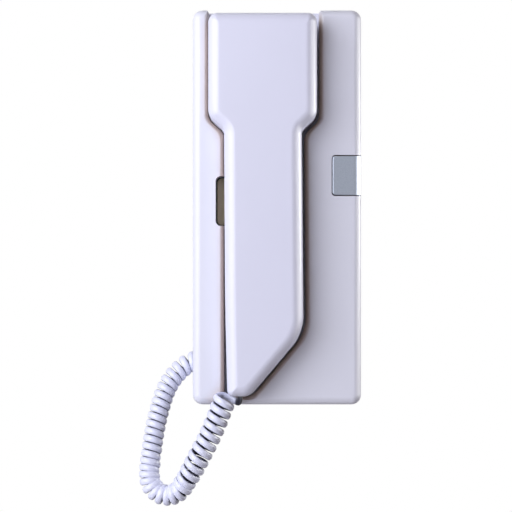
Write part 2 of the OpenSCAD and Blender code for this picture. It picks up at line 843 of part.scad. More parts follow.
// Plug body with its latch, cord end at the origin, pointing along +Z
module plug() {
    difference() {
        translate([-plug_w / 2, -plug_h / 2, 0]) cube([plug_w, plug_h, plug_len]);
        for (i = [0 : contact_count - 1])
            let (x = (i - (contact_count - 1) / 2) * contact_pitch)
            translate([x - contact_w / 2, -plug_h / 2 - past, plug_len - contact_len])
                cube([contact_w, contact_d + past, contact_len + past]);
    }
    translate([-latch_w / 2, plug_h / 2, latch_start])
        cube([latch_w, latch_t, plug_len - latch_start - latch_end]);
}

// Socket body with a mouth for the plug, mouth at the origin, open towards -Z
module jack(w) {
    mouth = plug_len - plug_out + slip;
    difference() {
        translate([-w / 2, -jack_h / 2, 0]) cube([w, jack_h, jack_len]);
        translate([-plug_w / 2 - slip, -plug_h / 2 - slip, -past])
            cube([plug_w + 2 * slip, plug_h + 2 * slip, mouth + past]);
        translate([-latch_w / 2 - slip, 0, -past])
            cube([latch_w + 2 * slip, plug_h / 2 + latch_t + slip, mouth + past]);
    }
}

module at_base_plug() {
    translate([base_plug_x, base_plug_y, base_plug_z]) rotate([0, 90, 0]) rotate([0, 0, 180]) children();
}

module at_handset_plug() {
    translate([handset_plug_x, handset_plug_y, handset_plug_z]) rotate([0, 0, 180]) children();
}

module base_jack() {
    color("#26262a") at_base_plug() translate([0, 0, plug_out]) jack(jack_w);
}

module base_plug() {
    color("#e6e8f4") at_base_plug() plug();
}

module handset_jack() {
    color("#26262a") at_handset_plug() translate([0, 0, plug_out]) jack(handset_jack_w);
}

module handset_plug() {
    color("#e6e8f4") at_handset_plug() plug();
}

// Curly cord

// Fine steps along the axis: [distance, position in points] and the full length
axis_steps = 6;
tangent_step = 0.02;
axis_marks = [for (i = 0, d = 0; i <= (len(curl_axis) - 1) * axis_steps;
    i = i + 1, d = d + norm(spline(curl_axis, i / axis_steps) - spline(curl_axis, (i - 1) / axis_steps)))
    [d, i / axis_steps]];
axis_len = axis_marks[len(axis_marks) - 1][0];

// Distance along the axis at which each curl starts, stretched so that the last one ends with the axis
loose_starts = [for (d = 0; d <= axis_len; d = d + lookup(d, curl_pitch)) d];
curl_count = len(loose_starts) - 1;
curl_starts = [for (d = loose_starts) d * axis_len / loose_starts[curl_count]];

// Position on the axis, in points, of a given share f of curl k, and the direction of the axis there
function curl_distance(k, f) = curl_starts[k] + (curl_starts[min(k + 1, curl_count)] - curl_starts[k]) * f;
function axis_way(t) = unit(spline(curl_axis, min(t + tangent_step, len(curl_axis) - 1))
    - spline(curl_axis, max(t - tangent_step, 0)));

// Middle of the cable at a given share f of curl k; the curls wind left-handed
function wire_point(k, f) =
    let (d = curl_distance(k, f),
        t = lookup(d, axis_marks),
        along = axis_way(t),
        front = unit([0, -1, 0] - ([0, -1, 0] * along) * along),
        across = cross(along, front),
        a = 360 * (k + f) + 90,
        step_out = bend_step * lookup(d, bend_share) * sin(a / 2 + 45),
        r = (curl_r + (curl_r_far - curl_r) * lookup(d, curl_widen) + step_out) * lookup(d, curl_swell))
    spline(curl_axis, t) + r * (cos(a) * front - sin(a) * across);

curl_marks = [for (i = [0 : curl_count * curl_rings]) [min(floor(i / curl_rings), curl_count - 1), i]];
curls = [for (m = curl_marks) wire_point(m[0], m[1] / curl_rings - m[0])];
wire = concat(cord_head, curls, cord_tail);
// In the curls the width of the cable lies along their axis
wide = concat([for (p = cord_head) cord_head_wide],
    [for (m = curl_marks) axis_way(lookup(curl_distance(m[0], m[1] / curl_rings - m[0]), axis_marks))]);

wire_len = [for (i = 0, d = 0; i < len(wire);
    i = i + 1, d = d + norm(wire[min(i, len(wire) - 1)] - wire[i - 1])) d];
echo(curl_count = curl_count, axis_length = axis_len, wire_length = wire_len[len(wire_len) - 1]);

// Part of a vector that is square to a direction, at unit length
function square_to(v, along) = unit(v - (v * along) * along);

// Flat cable along points; ways are the directions of its width, and points past them take the last one on
module cable(points, ways, w, t, sides) {
    last = len(points) - 1;
    along = [for (i = [0 : last]) unit(points[min(i + 1, last)] - points[max(i - 1, 0)])];
    across = [for (i = 0, n = square_to(ways[0], along[0]); i <= last;
        i = i + 1, n = i > last ? n : square_to(i < len(ways) ? ways[i] : n, along[i])) n];
    flats = cos(180 / sides);
    skin = [for (i = [0 : last]) for (k = [0 : sides - 1])
        let (a = 360 * (k + 0.5) / sides)
        points[i] + w / 2 * cos(a) / flats * across[i] + t / 2 * sin(a) / flats * cross(along[i], across[i])];
    polyhedron(points = skin, faces = concat(
        [[for (k = [0 : sides - 1]) k], [for (k = [sides - 1 : -1 : 0]) last * sides + k]],
        [for (i = [0 : last - 1]) for (k = [0 : sides - 1])
            let (n = (k + 1) % sides)
            each [[i * sides + k, (i + 1) * sides + k, (i + 1) * sides + n],
                [i * sides + k, (i + 1) * sides + n, i * sides + n]]]));
}

module curly_cord() {
    color("#e4e6f4") cable(wire, wide, cable_w, cable_t, cord_sides);
}

// Handset

module arch(grow) {
    rod_x(ear_left - past, ear_right + past, back_y - arch_d + arch_r, arch_z, arch_r + grow);
}

module handset_front_shell() {
    color("#dcdef0") difference() {
        loft(concat([ring(inset(shell_corners, 0), parting_y)],
            front_edge(shell_corners, 0, handset_edge_r, face_y)));
        difference() {
            loft(concat([ring(inset(shell_corners, handset_wall), parting_y + past)],
                front_edge(shell_corners, handset_wall, handset_edge_r - handset_wall, face_y + handset_wall,
                    inner_edge_steps)));
            for (s = shell_screws)
                rod_y(s[0], s[1], parting_y - slip, face_y, shell_boss_r);
        }
        for (s = shell_screws)
            rod_y(s[0], s[1], parting_y + past, face_y + 2 * handset_wall, shell_screw_r + snug);
        translate([handset_plug_x, handset_plug_y, foot_z])
            box([-plug_w / 2 - slip, -plug_h / 2 - latch_t - slip, -past],
                [plug_w / 2 + slip, plug_h / 2 + slip, 2 * handset_wall]);
    }
}

module handset_rear_shell() {
    color("#d6d8ea") difference() {
        union() {
            difference() {
                loft(concat(rear_edge(shell_corners, 0, handset_rear_r, back_y, inner_edge_steps),
                    [ring(inset(shell_corners, 0), parting_y)]));
                difference() {
                    slab(inset(shell_corners, handset_wall), back_y - handset_wall, parting_y - past);
                    arch(handset_wall);
                    rod_y(ear_mid[0], ear_mid[1], back_y, ear_pad_y, speaker_r + collar_wall + slip);
                }
            }
            difference() {
                rod_y(ear_mid[0], ear_mid[1], ear_pad_y + past, parting_y, speaker_r + slip + collar_wall);
                rod_y(ear_mid[0], ear_mid[1], ear_pad_y, parting_y - past, speaker_r + slip);
            }
            for (s = shell_screws)
                rod_y(s[0], s[1], back_y - handset_wall / 2, parting_y, shell_boss_r);
        }
        arch(0);
        translate([ear_mid[0], back_y + dish_r - ear_dish_d, ear_mid[1]]) sphere(dish_r);
        hole_rings(ear_mid, sound_rings, sound_hole_r, back_y + past, ear_pad_y - past);
        hole_rings(mic_mid, mic_sound_rings, mic_hole_r, back_y + past, mic_floor_y - past);
        for (s = shell_screws) {
            rod_y(s[0], s[1], back_y + past, parting_y - past, shell_screw_r + slip);
            rod_y(s[0], s[1], back_y + past, back_y - shell_head_sink - shell_head_d, shell_head_r + slip);
        }
        translate([handset_x, back_y, nub_top])
            box([-nub_w / 2 - nub_side_gap, -handset_wall - past, -nub_h - nub_slot_room],
                [nub_w / 2 + nub_side_gap, past, slip]);
    }
}

module handset_screws() {
    head_y = back_y - shell_head_sink - shell_head_d;
    color("#8f9198")
        for (s = shell_screws)
            translate([s[0], head_y, s[1]])
                rotate([-90, 0, 0])
                    screw(shell_head_r, shell_head_d, shell_screw_r, shell_screw_len);
}

module earpiece_gasket() {
    color("#3c3c40") difference() {
        rod_y(ear_mid[0], ear_mid[1], ear_pad_y, speaker_y, speaker_r);
        rod_y(ear_mid[0], ear_mid[1], ear_pad_y + past, speaker_y - past, speaker_r - gasket_ring_w);
    }
}

// Speaker turned about its axis: frame, magnet and a cone that faces the ear
module earpiece_speaker() {
    cone_r = speaker_r - cone_rim_w;
    magnet_r = speaker_r * magnet_share;
    color("#2a2a2e")
        translate([ear_mid[0], speaker_y, ear_mid[1]])
            rotate([90, 0, 0])
                rotate_extrude()
                    polygon([[0, cone_d], [magnet_r / 2, cone_d], [cone_r, 1], [cone_r, 0], [speaker_r, 0],
                        [speaker_r, 2], [magnet_r, cone_d + 1], [magnet_r, speaker_d], [0, speaker_d]]);
}

module microphone_boot() {
    r = mic_r + snug + mic_boot_wall;
    color("#303034") difference() {
        rod_y(mic_mid[0], mic_mid[1], mic_floor_y, mic_floor_y - mic_d, r);
        rod_y(mic_mid[0], mic_mid[1], mic_floor_y - mic_lip_t, mic_floor_y - mic_d - past, mic_r + snug);
        rod_y(mic_mid[0], mic_mid[1], mic_floor_y + past, mic_floor_y - past, mic_r - mic_lip_w);
    }
}

module microphone_capsule() {
    color("#a4a6aa")
        rod_y(mic_mid[0], mic_mid[1], mic_floor_y - mic_lip_t, mic_floor_y - mic_lip_t - mic_d, mic_r);
}

wall_plate();
base_housing();
housing_screw();
base_circuit_board();
pcb_screws();
terminal_block();
terminal_screws();
call_buzzer();
door_button();
door_switch();
door_switch_plunger();
hook_paddle();
hook_pin();
hook_switch();
hook_switch_plunger();
base_jack();
base_plug();
curly_cord();
handset_plug();
handset_jack();
handset_front_shell();
handset_rear_shell();
handset_screws();
earpiece_speaker();
earpiece_gasket();
microphone_capsule();
microphone_boot();
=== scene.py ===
"""Looks of a wall intercom: its shells, button, lever and curly cord, their materials and the stage."""

import math

import bmesh
import bpy
from bpy.props import FloatProperty, FloatVectorProperty, IntProperty, PointerProperty
from mathutils import Matrix, Vector
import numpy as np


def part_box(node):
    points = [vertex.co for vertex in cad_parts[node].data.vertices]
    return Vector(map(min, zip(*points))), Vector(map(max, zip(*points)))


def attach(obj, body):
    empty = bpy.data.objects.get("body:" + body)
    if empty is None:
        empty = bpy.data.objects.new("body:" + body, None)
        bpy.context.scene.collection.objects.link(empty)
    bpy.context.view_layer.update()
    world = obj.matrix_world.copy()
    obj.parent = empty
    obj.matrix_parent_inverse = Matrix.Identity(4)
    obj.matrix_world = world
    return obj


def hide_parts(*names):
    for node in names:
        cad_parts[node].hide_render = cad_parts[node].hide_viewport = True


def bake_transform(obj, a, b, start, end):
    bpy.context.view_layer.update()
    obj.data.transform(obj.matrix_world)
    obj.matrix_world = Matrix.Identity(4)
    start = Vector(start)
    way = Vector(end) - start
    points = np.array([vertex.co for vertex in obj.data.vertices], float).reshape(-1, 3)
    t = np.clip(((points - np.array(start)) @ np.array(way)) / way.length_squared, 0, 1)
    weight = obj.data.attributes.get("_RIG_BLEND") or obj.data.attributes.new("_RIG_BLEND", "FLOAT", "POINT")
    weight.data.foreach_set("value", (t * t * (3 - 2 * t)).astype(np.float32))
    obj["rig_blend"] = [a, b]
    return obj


bl_info = {
    "name": "Wall intercom",
    "version": (1, 0, 0),
    "blender": (4, 5, 0),
    "location": "View3D > Sidebar > Intercom",
    "description": "Dresses the packed intercom: base, handset, door button, hook lever and curly cord",
    "category": "Object",
}

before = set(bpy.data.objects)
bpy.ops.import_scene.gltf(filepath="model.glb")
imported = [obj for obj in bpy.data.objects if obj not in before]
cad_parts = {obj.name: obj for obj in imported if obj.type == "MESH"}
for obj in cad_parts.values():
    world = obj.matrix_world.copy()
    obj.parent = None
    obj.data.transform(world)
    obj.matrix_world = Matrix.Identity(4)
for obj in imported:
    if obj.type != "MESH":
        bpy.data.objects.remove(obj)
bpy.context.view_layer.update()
BASE_LOW, BASE_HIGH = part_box("base_housing")
FRONT_LOW, FRONT_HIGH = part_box("handset_front_shell")
REAR_LOW, REAR_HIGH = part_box("handset_rear_shell")
BUTTON_LOW, BUTTON_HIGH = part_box("door_button")
PADDLE_LOW, PADDLE_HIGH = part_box("hook_paddle")
PIN_LOW, PIN_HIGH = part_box("hook_pin")


# Fixed details, in metres

# Front face of the base, and how far a cut runs past the face that it opens
RAIL_Y = BASE_LOW.y
PAST = 0.001
# Outline of the handset: corner radii, and the steps of its rounded edges
LEAST_RADIUS = 0.0004
FOOT_RADIUS = 0.0033
SOLE_RADIUS = 0.0077
HEEL_RADIUS = 0.0235
NECK_RADIUS = 0.0049
SHOULDER_RADIUS = 0.0077
CROWN_RADIUS = 0.0052
KNEE_RADIUS = 1.0
HANDSET_X = (FRONT_LOW.x + FRONT_HIGH.x) / 2
HANDSET_STEPS = 12
REAR_STEPS = 6
EDGE_STEPS = 8
# Mouth of the channel: its rise over the top of the base, so that no faces coincide, and its reach to the
# sides in lip radii
BROW_RISE = 0.00002
LIP_REACH = 3
# Door button, its stem (x, z) and its well
BUTTON_OVERHANG = 0.006
BUTTON_CORNER = 0.0016
BUTTON_THICKNESS = 0.0072
BUTTON_SLOPE = 0.0003
BUTTON_EDGE = 0.00015
BUTTON_SHARP_DEGREES = 50
STEM = [((BUTTON_LOW.x + BUTTON_HIGH.x) / 2, (BUTTON_LOW.z + BUTTON_HIGH.z) / 2)]
STEM_ROOT = 0.006
STEM_RADIUS = 0.0017
STEM_BORE = 0.002
STEM_REACH = 0.003
WELL_DEPTH = 0.0085
WELL_WALL = 0.002
# Hook lever, the part of it that shows beside the grip, its pin (x, y) and its nose
LEVER_SHOWN = 0.0044
LEVER_CORNER = 0.0024
LEVER_THICKNESS = 0.0026
LEVER_EDGE = 0.0006
KNUCKLE_INSET = 0.0024
KNUCKLE_RADIUS = 0.002
PIN_X = (PIN_LOW.x + PIN_HIGH.x) / 2
PIN_Y = (PIN_LOW.y + PIN_HIGH.y) / 2
PIN_BORE = 0.00105
NOSE_INSET = 0.0046
NOSE_RISE = 0.0038
NOSE_LENGTH = 0.012
NOSE_EDGE = 0.0012
NOSE_ROOT = 0.0013
# Lugs of the pin, and the nub that the handset hangs on
LUG_HALF = 0.0022
LUG_HEIGHT = 0.0018
LUG_LAP = 0.0003
FLOOR_ROOT = 0.0012
NUB_HALF = 0.005
NUB_HEIGHT = 0.003
NUB_LOW = 0.044
NUB_HIGH = 0.048
NUB_EDGE = 0.0008
# Sound slots, cord notch and housing screw (x, y) of the base
SLOT_PITCH = 0.004
SLOT_HALF = 0.001
SLOT_LOW = 0.0215
SLOT_HIGH = 0.0345
SLOT_RADIUS = 0.0009
NOTCH_Y = -0.007
NOTCH_Z = -0.0865
NOTCH_RADIUS = 0.0085
SCREW = [(0, -0.0064)]
SCREW_RECESS = 0.0012
SCREW_HEAD_RADIUS = 0.0031
SCREW_RADIUS = 0.00175
# Handset: play of the plug, earpiece (x, z), mouthpiece, sound holes, screws and the slot for the nub
PLUG_PLAY = 0.0003
EAR_X = (REAR_LOW.x + REAR_HIGH.x) / 2
EAR_Z = REAR_HIGH.z - 0.031
MOUTH_X = -0.0125
MOUTH_Z = -0.082
EAR_HOLE = 0.001
MOUTH_HOLE = 0.0008
# Rings of sound holes: middle, radius of the ring, number of holes and their radius
SOUND_RINGS = [
    (EAR_X, EAR_Z, 0, 1, EAR_HOLE), (EAR_X, EAR_Z, 0.0055, 6, EAR_HOLE), (EAR_X, EAR_Z, 0.011, 12, EAR_HOLE),
    (MOUTH_X, MOUTH_Z, 0, 1, MOUTH_HOLE), (MOUTH_X, MOUTH_Z, 0.0026, 4, MOUTH_HOLE)]
HOLE_DEPTH = 0.006
PAD_RADIUS = 0.0198
SHELL_SCREWS = [(EAR_X, REAR_HIGH.z - 0.0066), (-0.002, -0.066)]
BOSS_RADIUS = 0.0041
SCREW_WELL_RADIUS = 0.0029
SHAFT_RADIUS = 0.00155
HANG_HALF = 0.0056
HANG_DEPTH = 0.0032
HANG_LOW = 0.04
HANG_HIGH = 0.0483
# Painted shade on the cord: how far it goes between the curls, and where it fades, and where its run under
# the handset's foot starts and fades, in points of the cable
CURL_SHADE_FULL = 0.92
CURL_SHADE_FADE = 10
SHADED_RUN_START = 18
SHADED_RUN_FADE = 8


# Colours and settings


def linear(hex_colour):
    """Linear red, green and blue of an sRGB hex colour"""
    parts = [int(hex_colour[k:k + 2], 16) / 255 for k in (1, 3, 5)]
    return tuple(c / 12.92 if c <= 0.04045 else ((c + 0.055) / 1.055) ** 2.4 for c in parts)


def length(name, description, default):
    """Property for a length in metres"""
    return FloatProperty(name=name, description=description, default=default, min=0, precision=5,
                         unit="LENGTH", subtype="DISTANCE")


def colour(name, description, hex_colour):
    """Property for a colour"""
    return FloatVectorProperty(name=name, description=description, default=linear(hex_colour), size=3,
                               min=0, max=1, subtype="COLOR")


class IntercomBaseSizes(bpy.types.PropertyGroup):
    """Sizes of the wall base"""
    corner_radius: length("Corner radius", "Corner radius of the base outline", 0.0055)
    edge_radius: length("Edge radius", "Rounding of the front edge", 0.0045)
    wall: length("Wall", "Wall thickness of the housing", 0.0024)
    channel_depth: length("Channel depth", "Depth of the handset channel", 0.014)
    gap_left: length("Left gap", "Gap between handset and channel on the left", 0.0002)
    gap_right: length("Right gap", "Gap between handset and channel on the right", 0.0018)
    gap_bottom: length("Lower gap", "Gap between handset and channel at the foot", 0.0014)
    rim_width: length("Rim width", "Width of the rounded rim of the channel", 0.0026)
    rim_depth: length("Rim depth", "Depth of the rounded rim of the channel", 0.0055)
    lip_radius: length("Lip radius", "Rounding of the top beside the channel", 0.0016)
    button_gap: length("Button gap", "Gap round the door button", 0.0005)
    button_top: length("Button top", "How far the button ends below the top of its CAD box", 0.00055)
    button_chamfer: length("Button chamfer", "Width of the shallow chamfer round the button", 0.0008)
    button_foot: length("Button foot", "How far the button ends above the foot of its CAD box", 0.001)
    paddle_gap: length("Lever gap", "Gap round the hook lever", 0.0006)


class IntercomHandsetSizes(bpy.types.PropertyGroup):
    """Sizes of the handset"""
    ear_length: length("Ear length", "Length of the ear end down to its lower corners", 0.0566)
    ear_trim: length("Ear trim", "How far the left side of the ear end lies inside its CAD box", 0.00045)
    neck: length("Neck", "Height of the sloped neck", 0.0079)
    grip_width: length("Grip width", "Width of the grip", 0.0426)
    grip_shift: length("Grip shift", "Middle of the grip right of the middle of the ear end", 0.0004)
    taper: length("Taper", "How far the left edge leans in at the foot", 0.0018)
    flare: length("Flare", "How far the right edge leans out down to the heel", 0.0009)
    knee: length("Knee", "Height above the foot from which the left edge leans in more", 0.049)
    knee_lean: length("Knee lean", "How far the left edge leans in down to the knee", 0.0006)
    heel: length("Heel", "Height of the slanted heel", 0.0337)
    foot_width: length("Foot width", "Width of the flat foot", 0.0124)
    edge_radius: length("Edge radius", "Rounding of the front edge", 0.0065)
    rear_radius: length("Rear radius", "Rounding of the rear edge", 0.0025)
    wall: length("Wall", "Wall thickness of both shells", 0.0022)
    seam: length("Seam", "Width of each half of the groove along the parting line", 0.0003)
    arch_depth: length("Arch depth", "Depth of the finger arch", 0.004)
    arch_length: length("Arch length", "Length of the finger arch", 0.11)
    arch_height: FloatProperty(name="Arch height", description="Middle of the finger arch above the origin",
                               default=-0.016, precision=5, unit="LENGTH", subtype="DISTANCE")
    dish_radius: length("Dish radius", "Radius of the ear dish", 0.021)
    dish_depth: length("Dish depth", "Depth of the ear dish", 0.002)


class IntercomCordSizes(bpy.types.PropertyGroup):
    """Sizes of the curly cord"""
    cable_width: length("Cable width", "Width of the flat cable, along the axis of the curls", 0.00385)
    cable_thickness: length("Cable thickness", "Thickness of the flat cable", 0.0024)
    curl_radius: length("Curl radius", "Radius of the curls on the base side", 0.0046)
    far_radius: length("Far radius", "Radius of the curls on the handset side", 0.0053)
    bend_step: length("Bend step", "How much wider every other curl is in the tight bend", 0.0002)
    curl_points: IntProperty(name="Points per curl", description="Points of the cable in each curl",
                             default=22, min=12, max=48)


class IntercomColours(bpy.types.PropertyGroup):
    """Colours of the materials"""
    handset: colour("Handset", "Moulded ABS of the handset", "#dcdef0")
    base: colour("Base", "Moulded ABS of the base", "#dddfec")
    # Painted shade: the warm brown tint laid on the channel's rim where the handset's shadow falls
    painted_shade: colour("Film", "Tint of the dusty film on the channel's rim", "#ddc7ae")
    rear: colour("Wall plate", "Moulded ABS of the wall plate", "#cfd1de")
    button: colour("Button", "Silver lacquer of the door button", "#9097a4")
    lever: colour("Lever", "Polyamide of the hook lever", "#e6d8b4")
    cord: colour("Cord", "Vinyl sheath of the cord", "#dee2f8")
    plug: colour("Plug", "Polycarbonate of the plugs", "#e6e8f2")
    board: colour("Board", "Solder mask of the circuit board", "#2f6b45")
    terminal: colour("Terminals", "Polyamide of the terminal block", "#3a7d52")
    black: colour("Black parts", "Black plastic of sockets, switches and speaker", "#26262a")
    plunger: colour("Plungers", "Acetal of the switch plungers", "#dadadf")
    foam: colour("Foam", "Foam rubber of gasket and boot", "#303034")


# Nodes and materials


def add_node(tree, kind, inputs=None, stops=(), **settings):
    """Adds a node; inputs gives its sockets values or sockets to link from, stops the colours of a ramp"""
    node = tree.nodes.new(kind)
    for name, value in settings.items():
        setattr(node, name, value)
    for name, value in (inputs or {}).items():
        if isinstance(value, bpy.types.NodeSocket):
            tree.links.new(value, node.inputs[name])
        else:
            node.inputs[name].default_value = value
    for k, (place, rgba) in enumerate(stops):
        ramp = node.color_ramp.elements
        stop = ramp[k] if k < len(ramp) else ramp.new(place)
        stop.position = place
        stop.color = rgba
    return node


def start_material(name):
    """A node material with nothing in it but the place on the object; gives material, nodes and place"""
    material = bpy.data.materials.new(name)
    material.use_nodes = True
    tree = material.node_tree
    tree.nodes.clear()
    return material, tree, add_node(tree, "ShaderNodeTexCoord").outputs["Object"]


def shade(tree, **inputs):
    """Ends a material in a principled shader with these sockets"""
    named = {key.replace("_", " "): value for key, value in inputs.items()}
    shader = add_node(tree, "ShaderNodeBsdfPrincipled", named)
    add_node(tree, "ShaderNodeOutputMaterial", {"Surface": shader.outputs["BSDF"]})


def tinted(rgb, factor):
    """A colour made lighter or darker, with full opacity"""
    return (*(min(c * factor, 1) for c in rgb), 1)


def moulded(name, rgb, rough, grain_mm, grain_depth_mm, mottle, ior=1.53, painted_shade=None):
    """Injection-moulded plastic: faint flow mottle over tens of millimetres and a fine eroded texture"""
    # Most values of a noise lie between these two
    low = 0.3
    high = 0.7
    flow_mm = 45
    material, tree, place = start_material(name)
    flow = add_node(tree, "ShaderNodeTexNoise", {"Vector": place, "Scale": 1000 / flow_mm, "Detail": 3})
    grain = add_node(tree, "ShaderNodeTexNoise", {"Vector": place, "Scale": 1000 / grain_mm, "Detail": 2})
    tone = add_node(tree, "ShaderNodeValToRGB", {"Fac": flow.outputs["Fac"]},
                    [(low, tinted(rgb, 1 - mottle)), (high, tinted(rgb, 1 + mottle / 2))])
    gloss = add_node(tree, "ShaderNodeMapRange", {"Value": grain.outputs["Fac"], "From Min": low,
                                                  "From Max": high, "To Min": rough - 0.04,
                                                  "To Max": rough + 0.06})
    relief = add_node(tree, "ShaderNodeBump", {"Height": grain.outputs["Fac"], "Strength": 0.5,
                                               "Distance": grain_depth_mm / 1000})
    paint = tone.outputs["Color"]
    # Painted shade: a warm brown tint on the rim beside the handset, where its shadow falls
    if painted_shade:
        paint = painted_rim_shade(tree, place, paint, painted_shade)
    shade(tree, Base_Color=paint, Roughness=gloss.outputs["Result"], IOR=ior,
          Normal=relief.outputs["Normal"])
    return material


def painted_rim_shade(tree, place, paint, rgb):
    """Painted shade on the channel's rim: a warm brown tint, strongest where ambient occlusion finds the
    handset close, fading out with depth into the channel
    """
    reach = 0.009
    deepest = RAIL_Y + 0.01
    fades = RAIL_Y + 0.005
    near = add_node(tree, "ShaderNodeAmbientOcclusion", {"Distance": reach}, samples=16)
    hidden = add_node(tree, "ShaderNodeMapRange", {"Value": near.outputs["AO"], "From Min": 0.9,
                                                   "From Max": 0.3})
    depth = add_node(tree, "ShaderNodeSeparateXYZ", {"Vector": place}).outputs["Y"]
    shallow = add_node(tree, "ShaderNodeMapRange", {"Value": depth, "From Min": deepest, "From Max": fades})
    amount = add_node(tree, "ShaderNodeMath", {0: hidden.outputs["Result"], 1: shallow.outputs["Result"]},
                      operation="MULTIPLY")
    tint = add_node(tree, "ShaderNodeValToRGB", {"Fac": amount.outputs["Value"]},
                    [(0, (1, 1, 1, 1)), (1, tinted(rgb, 1))])
    return add_node(tree, "ShaderNodeVectorMath", {0: paint, 1: tint.outputs["Color"]},
                    operation="MULTIPLY").outputs["Vector"]


def silver_lacquer(rgb):
    """Metallic lacquer on ABS: aluminium flakes give a cool grey that brightens where it mirrors a lamp"""
    # Flakes are about 0.05 mm; drawn larger so that they show
    flake_mm = 0.7
    material, tree, place = start_material("silver_lacquer_on_abs")
    flakes = add_node(tree, "ShaderNodeTexVoronoi", {"Vector": place, "Scale": 1000 / flake_mm})
    tone = add_node(tree, "ShaderNodeValToRGB", {"Fac": flakes.outputs["Distance"]},
                    [(0, tinted(rgb, 1.06)), (1, tinted(rgb, 0.93))])
    gloss = add_node(tree, "ShaderNodeMapRange", {"Value": flakes.outputs["Distance"], "To Min": 0.3,
                                                  "To Max": 0.42})
    shade(tree, Base_Color=tone.outputs["Color"], Roughness=gloss.outputs["Result"], Metallic=0.55,
          Coat_Weight=0.25, Coat_Roughness=0.12)
    return material


def vinyl_sheath(rgb):
    """Soft extruded vinyl: smooth and half glossy, with painted shade where the curls meet and under the
    handset's foot
    """
    handling_mm = 14
    ripple_mm = 1.1
    material, tree, place = start_material("extruded_vinyl_sheath")
    handling = add_node(tree, "ShaderNodeTexNoise", {"Vector": place, "Scale": 1000 / handling_mm,
                                                     "Detail": 3})
    # Painted shade read from the vertices: darker on the sides and inner face of the curls, and on the run
    # under the handset's foot
    curl_shade = add_node(tree, "ShaderNodeAttribute", attribute_name="curl_shade")
    tone = add_node(tree, "ShaderNodeValToRGB", {"Fac": curl_shade.outputs["Fac"]},
                    [(0.3, tinted(rgb, 1)), (0.6, tinted(rgb, 0.8)), (CURL_SHADE_FULL, (*linear("#50526a"), 1)),
                     (1, (*linear("#2c2d38"), 1))])
    gloss = add_node(tree, "ShaderNodeMapRange", {"Value": handling.outputs["Fac"], "To Min": 0.24,
                                                  "To Max": 0.42})
    ripple = add_node(tree, "ShaderNodeTexNoise", {"Vector": place, "Scale": 1000 / ripple_mm, "Detail": 1})
    relief = add_node(tree, "ShaderNodeBump", {"Height": ripple.outputs["Fac"], "Strength": 0.3,
                                               "Distance": 0.00004})
    shade(tree, Base_Color=tone.outputs["Color"], Roughness=gloss.outputs["Result"], IOR=1.54,
          Normal=relief.outputs["Normal"])
    return material


def solder_mask(rgb):
    """Glass-fibre board under green lacquer: thin paler copper tracks between darker and lighter fields"""
    raster_mm = 10
    material, tree, place = start_material("solder_mask_on_glass_fibre")
    turned = add_node(tree, "ShaderNodeMapping", {"Vector": place, "Rotation": (math.pi / 2, 0, 0)})
    tracks = add_node(tree, "ShaderNodeTexBrick", {
        "Vector": turned.outputs["Vector"], "Color1": tinted(rgb, 1), "Color2": tinted(rgb, 0.82),
        "Mortar": tinted(rgb, 1.7), "Scale": 1000 / raster_mm, "Mortar Size": 0.03})
    relief = add_node(tree, "ShaderNodeBump", {"Height": tracks.outputs["Fac"], "Strength": 0.4,
                                               "Distance": 0.00005})
    shade(tree, Base_Color=tracks.outputs["Color"], Roughness=0.3, Normal=relief.outputs["Normal"])
    return material


def zinc_plate():
    """Zinc-plated steel: a soft grey mirror with a fine turned grain"""
    grain_mm = 0.6
    material, tree, place = start_material("zinc_plated_steel")
    grain = add_node(tree, "ShaderNodeTexNoise", {"Vector": place, "Scale": 1000 / grain_mm, "Detail": 3})
    tone = add_node(tree, "ShaderNodeValToRGB", {"Fac": grain.outputs["Fac"]},
                    [(0, tinted(linear("#a6a8ad"), 1)), (1, tinted(linear("#c3c5c9"), 1))])
    gloss = add_node(tree, "ShaderNodeMapRange", {"Value": grain.outputs["Fac"], "To Min": 0.25,
                                                  "To Max": 0.45})
    shade(tree, Base_Color=tone.outputs["Color"], Metallic=1, Roughness=gloss.outputs["Result"])
    return material


def drawn_aluminium():
    """Deep-drawn aluminium can: bright, with fine lines along the draw"""
    line_mm = 0.4
    material, tree, place = start_material("drawn_aluminium")
    long_way = add_node(tree, "ShaderNodeMapping", {"Vector": place, "Scale": (1, 0.05, 1)})
    lines = add_node(tree, "ShaderNodeTexNoise", {"Vector": long_way.outputs["Vector"],
                                                  "Scale": 1000 / line_mm})
    tone = add_node(tree, "ShaderNodeValToRGB", {"Fac": lines.outputs["Fac"]},
                    [(0, tinted(linear("#b9bbbe"), 1)), (1, tinted(linear("#d2d4d6"), 1))])
    gloss = add_node(tree, "ShaderNodeMapRange", {"Value": lines.outputs["Fac"], "To Min": 0.22,
                                                  "To Max": 0.36})
    shade(tree, Base_Color=tone.outputs["Color"], Metallic=1, Roughness=gloss.outputs["Result"])
    return material


def foam_rubber(rgb):
    """Closed-cell foam: dull and dark, pitted with cells of about half a millimetre"""
    cell_mm = 0.5
    material, tree, place = start_material("closed_cell_foam_rubber")
    cells = add_node(tree, "ShaderNodeTexVoronoi", {"Vector": place, "Scale": 1000 / cell_mm})
    tone = add_node(tree, "ShaderNodeValToRGB", {"Fac": cells.outputs["Distance"]},
                    [(0, tinted(rgb, 0.7)), (1, tinted(rgb, 1.2))])
    relief = add_node(tree, "ShaderNodeBump", {"Height": cells.outputs["Distance"], "Strength": 0.8,
                                               "Distance": 0.0002})
    shade(tree, Base_Color=tone.outputs["Color"], Roughness=0.9, Normal=relief.outputs["Normal"])
    return material


# Outlines and solids


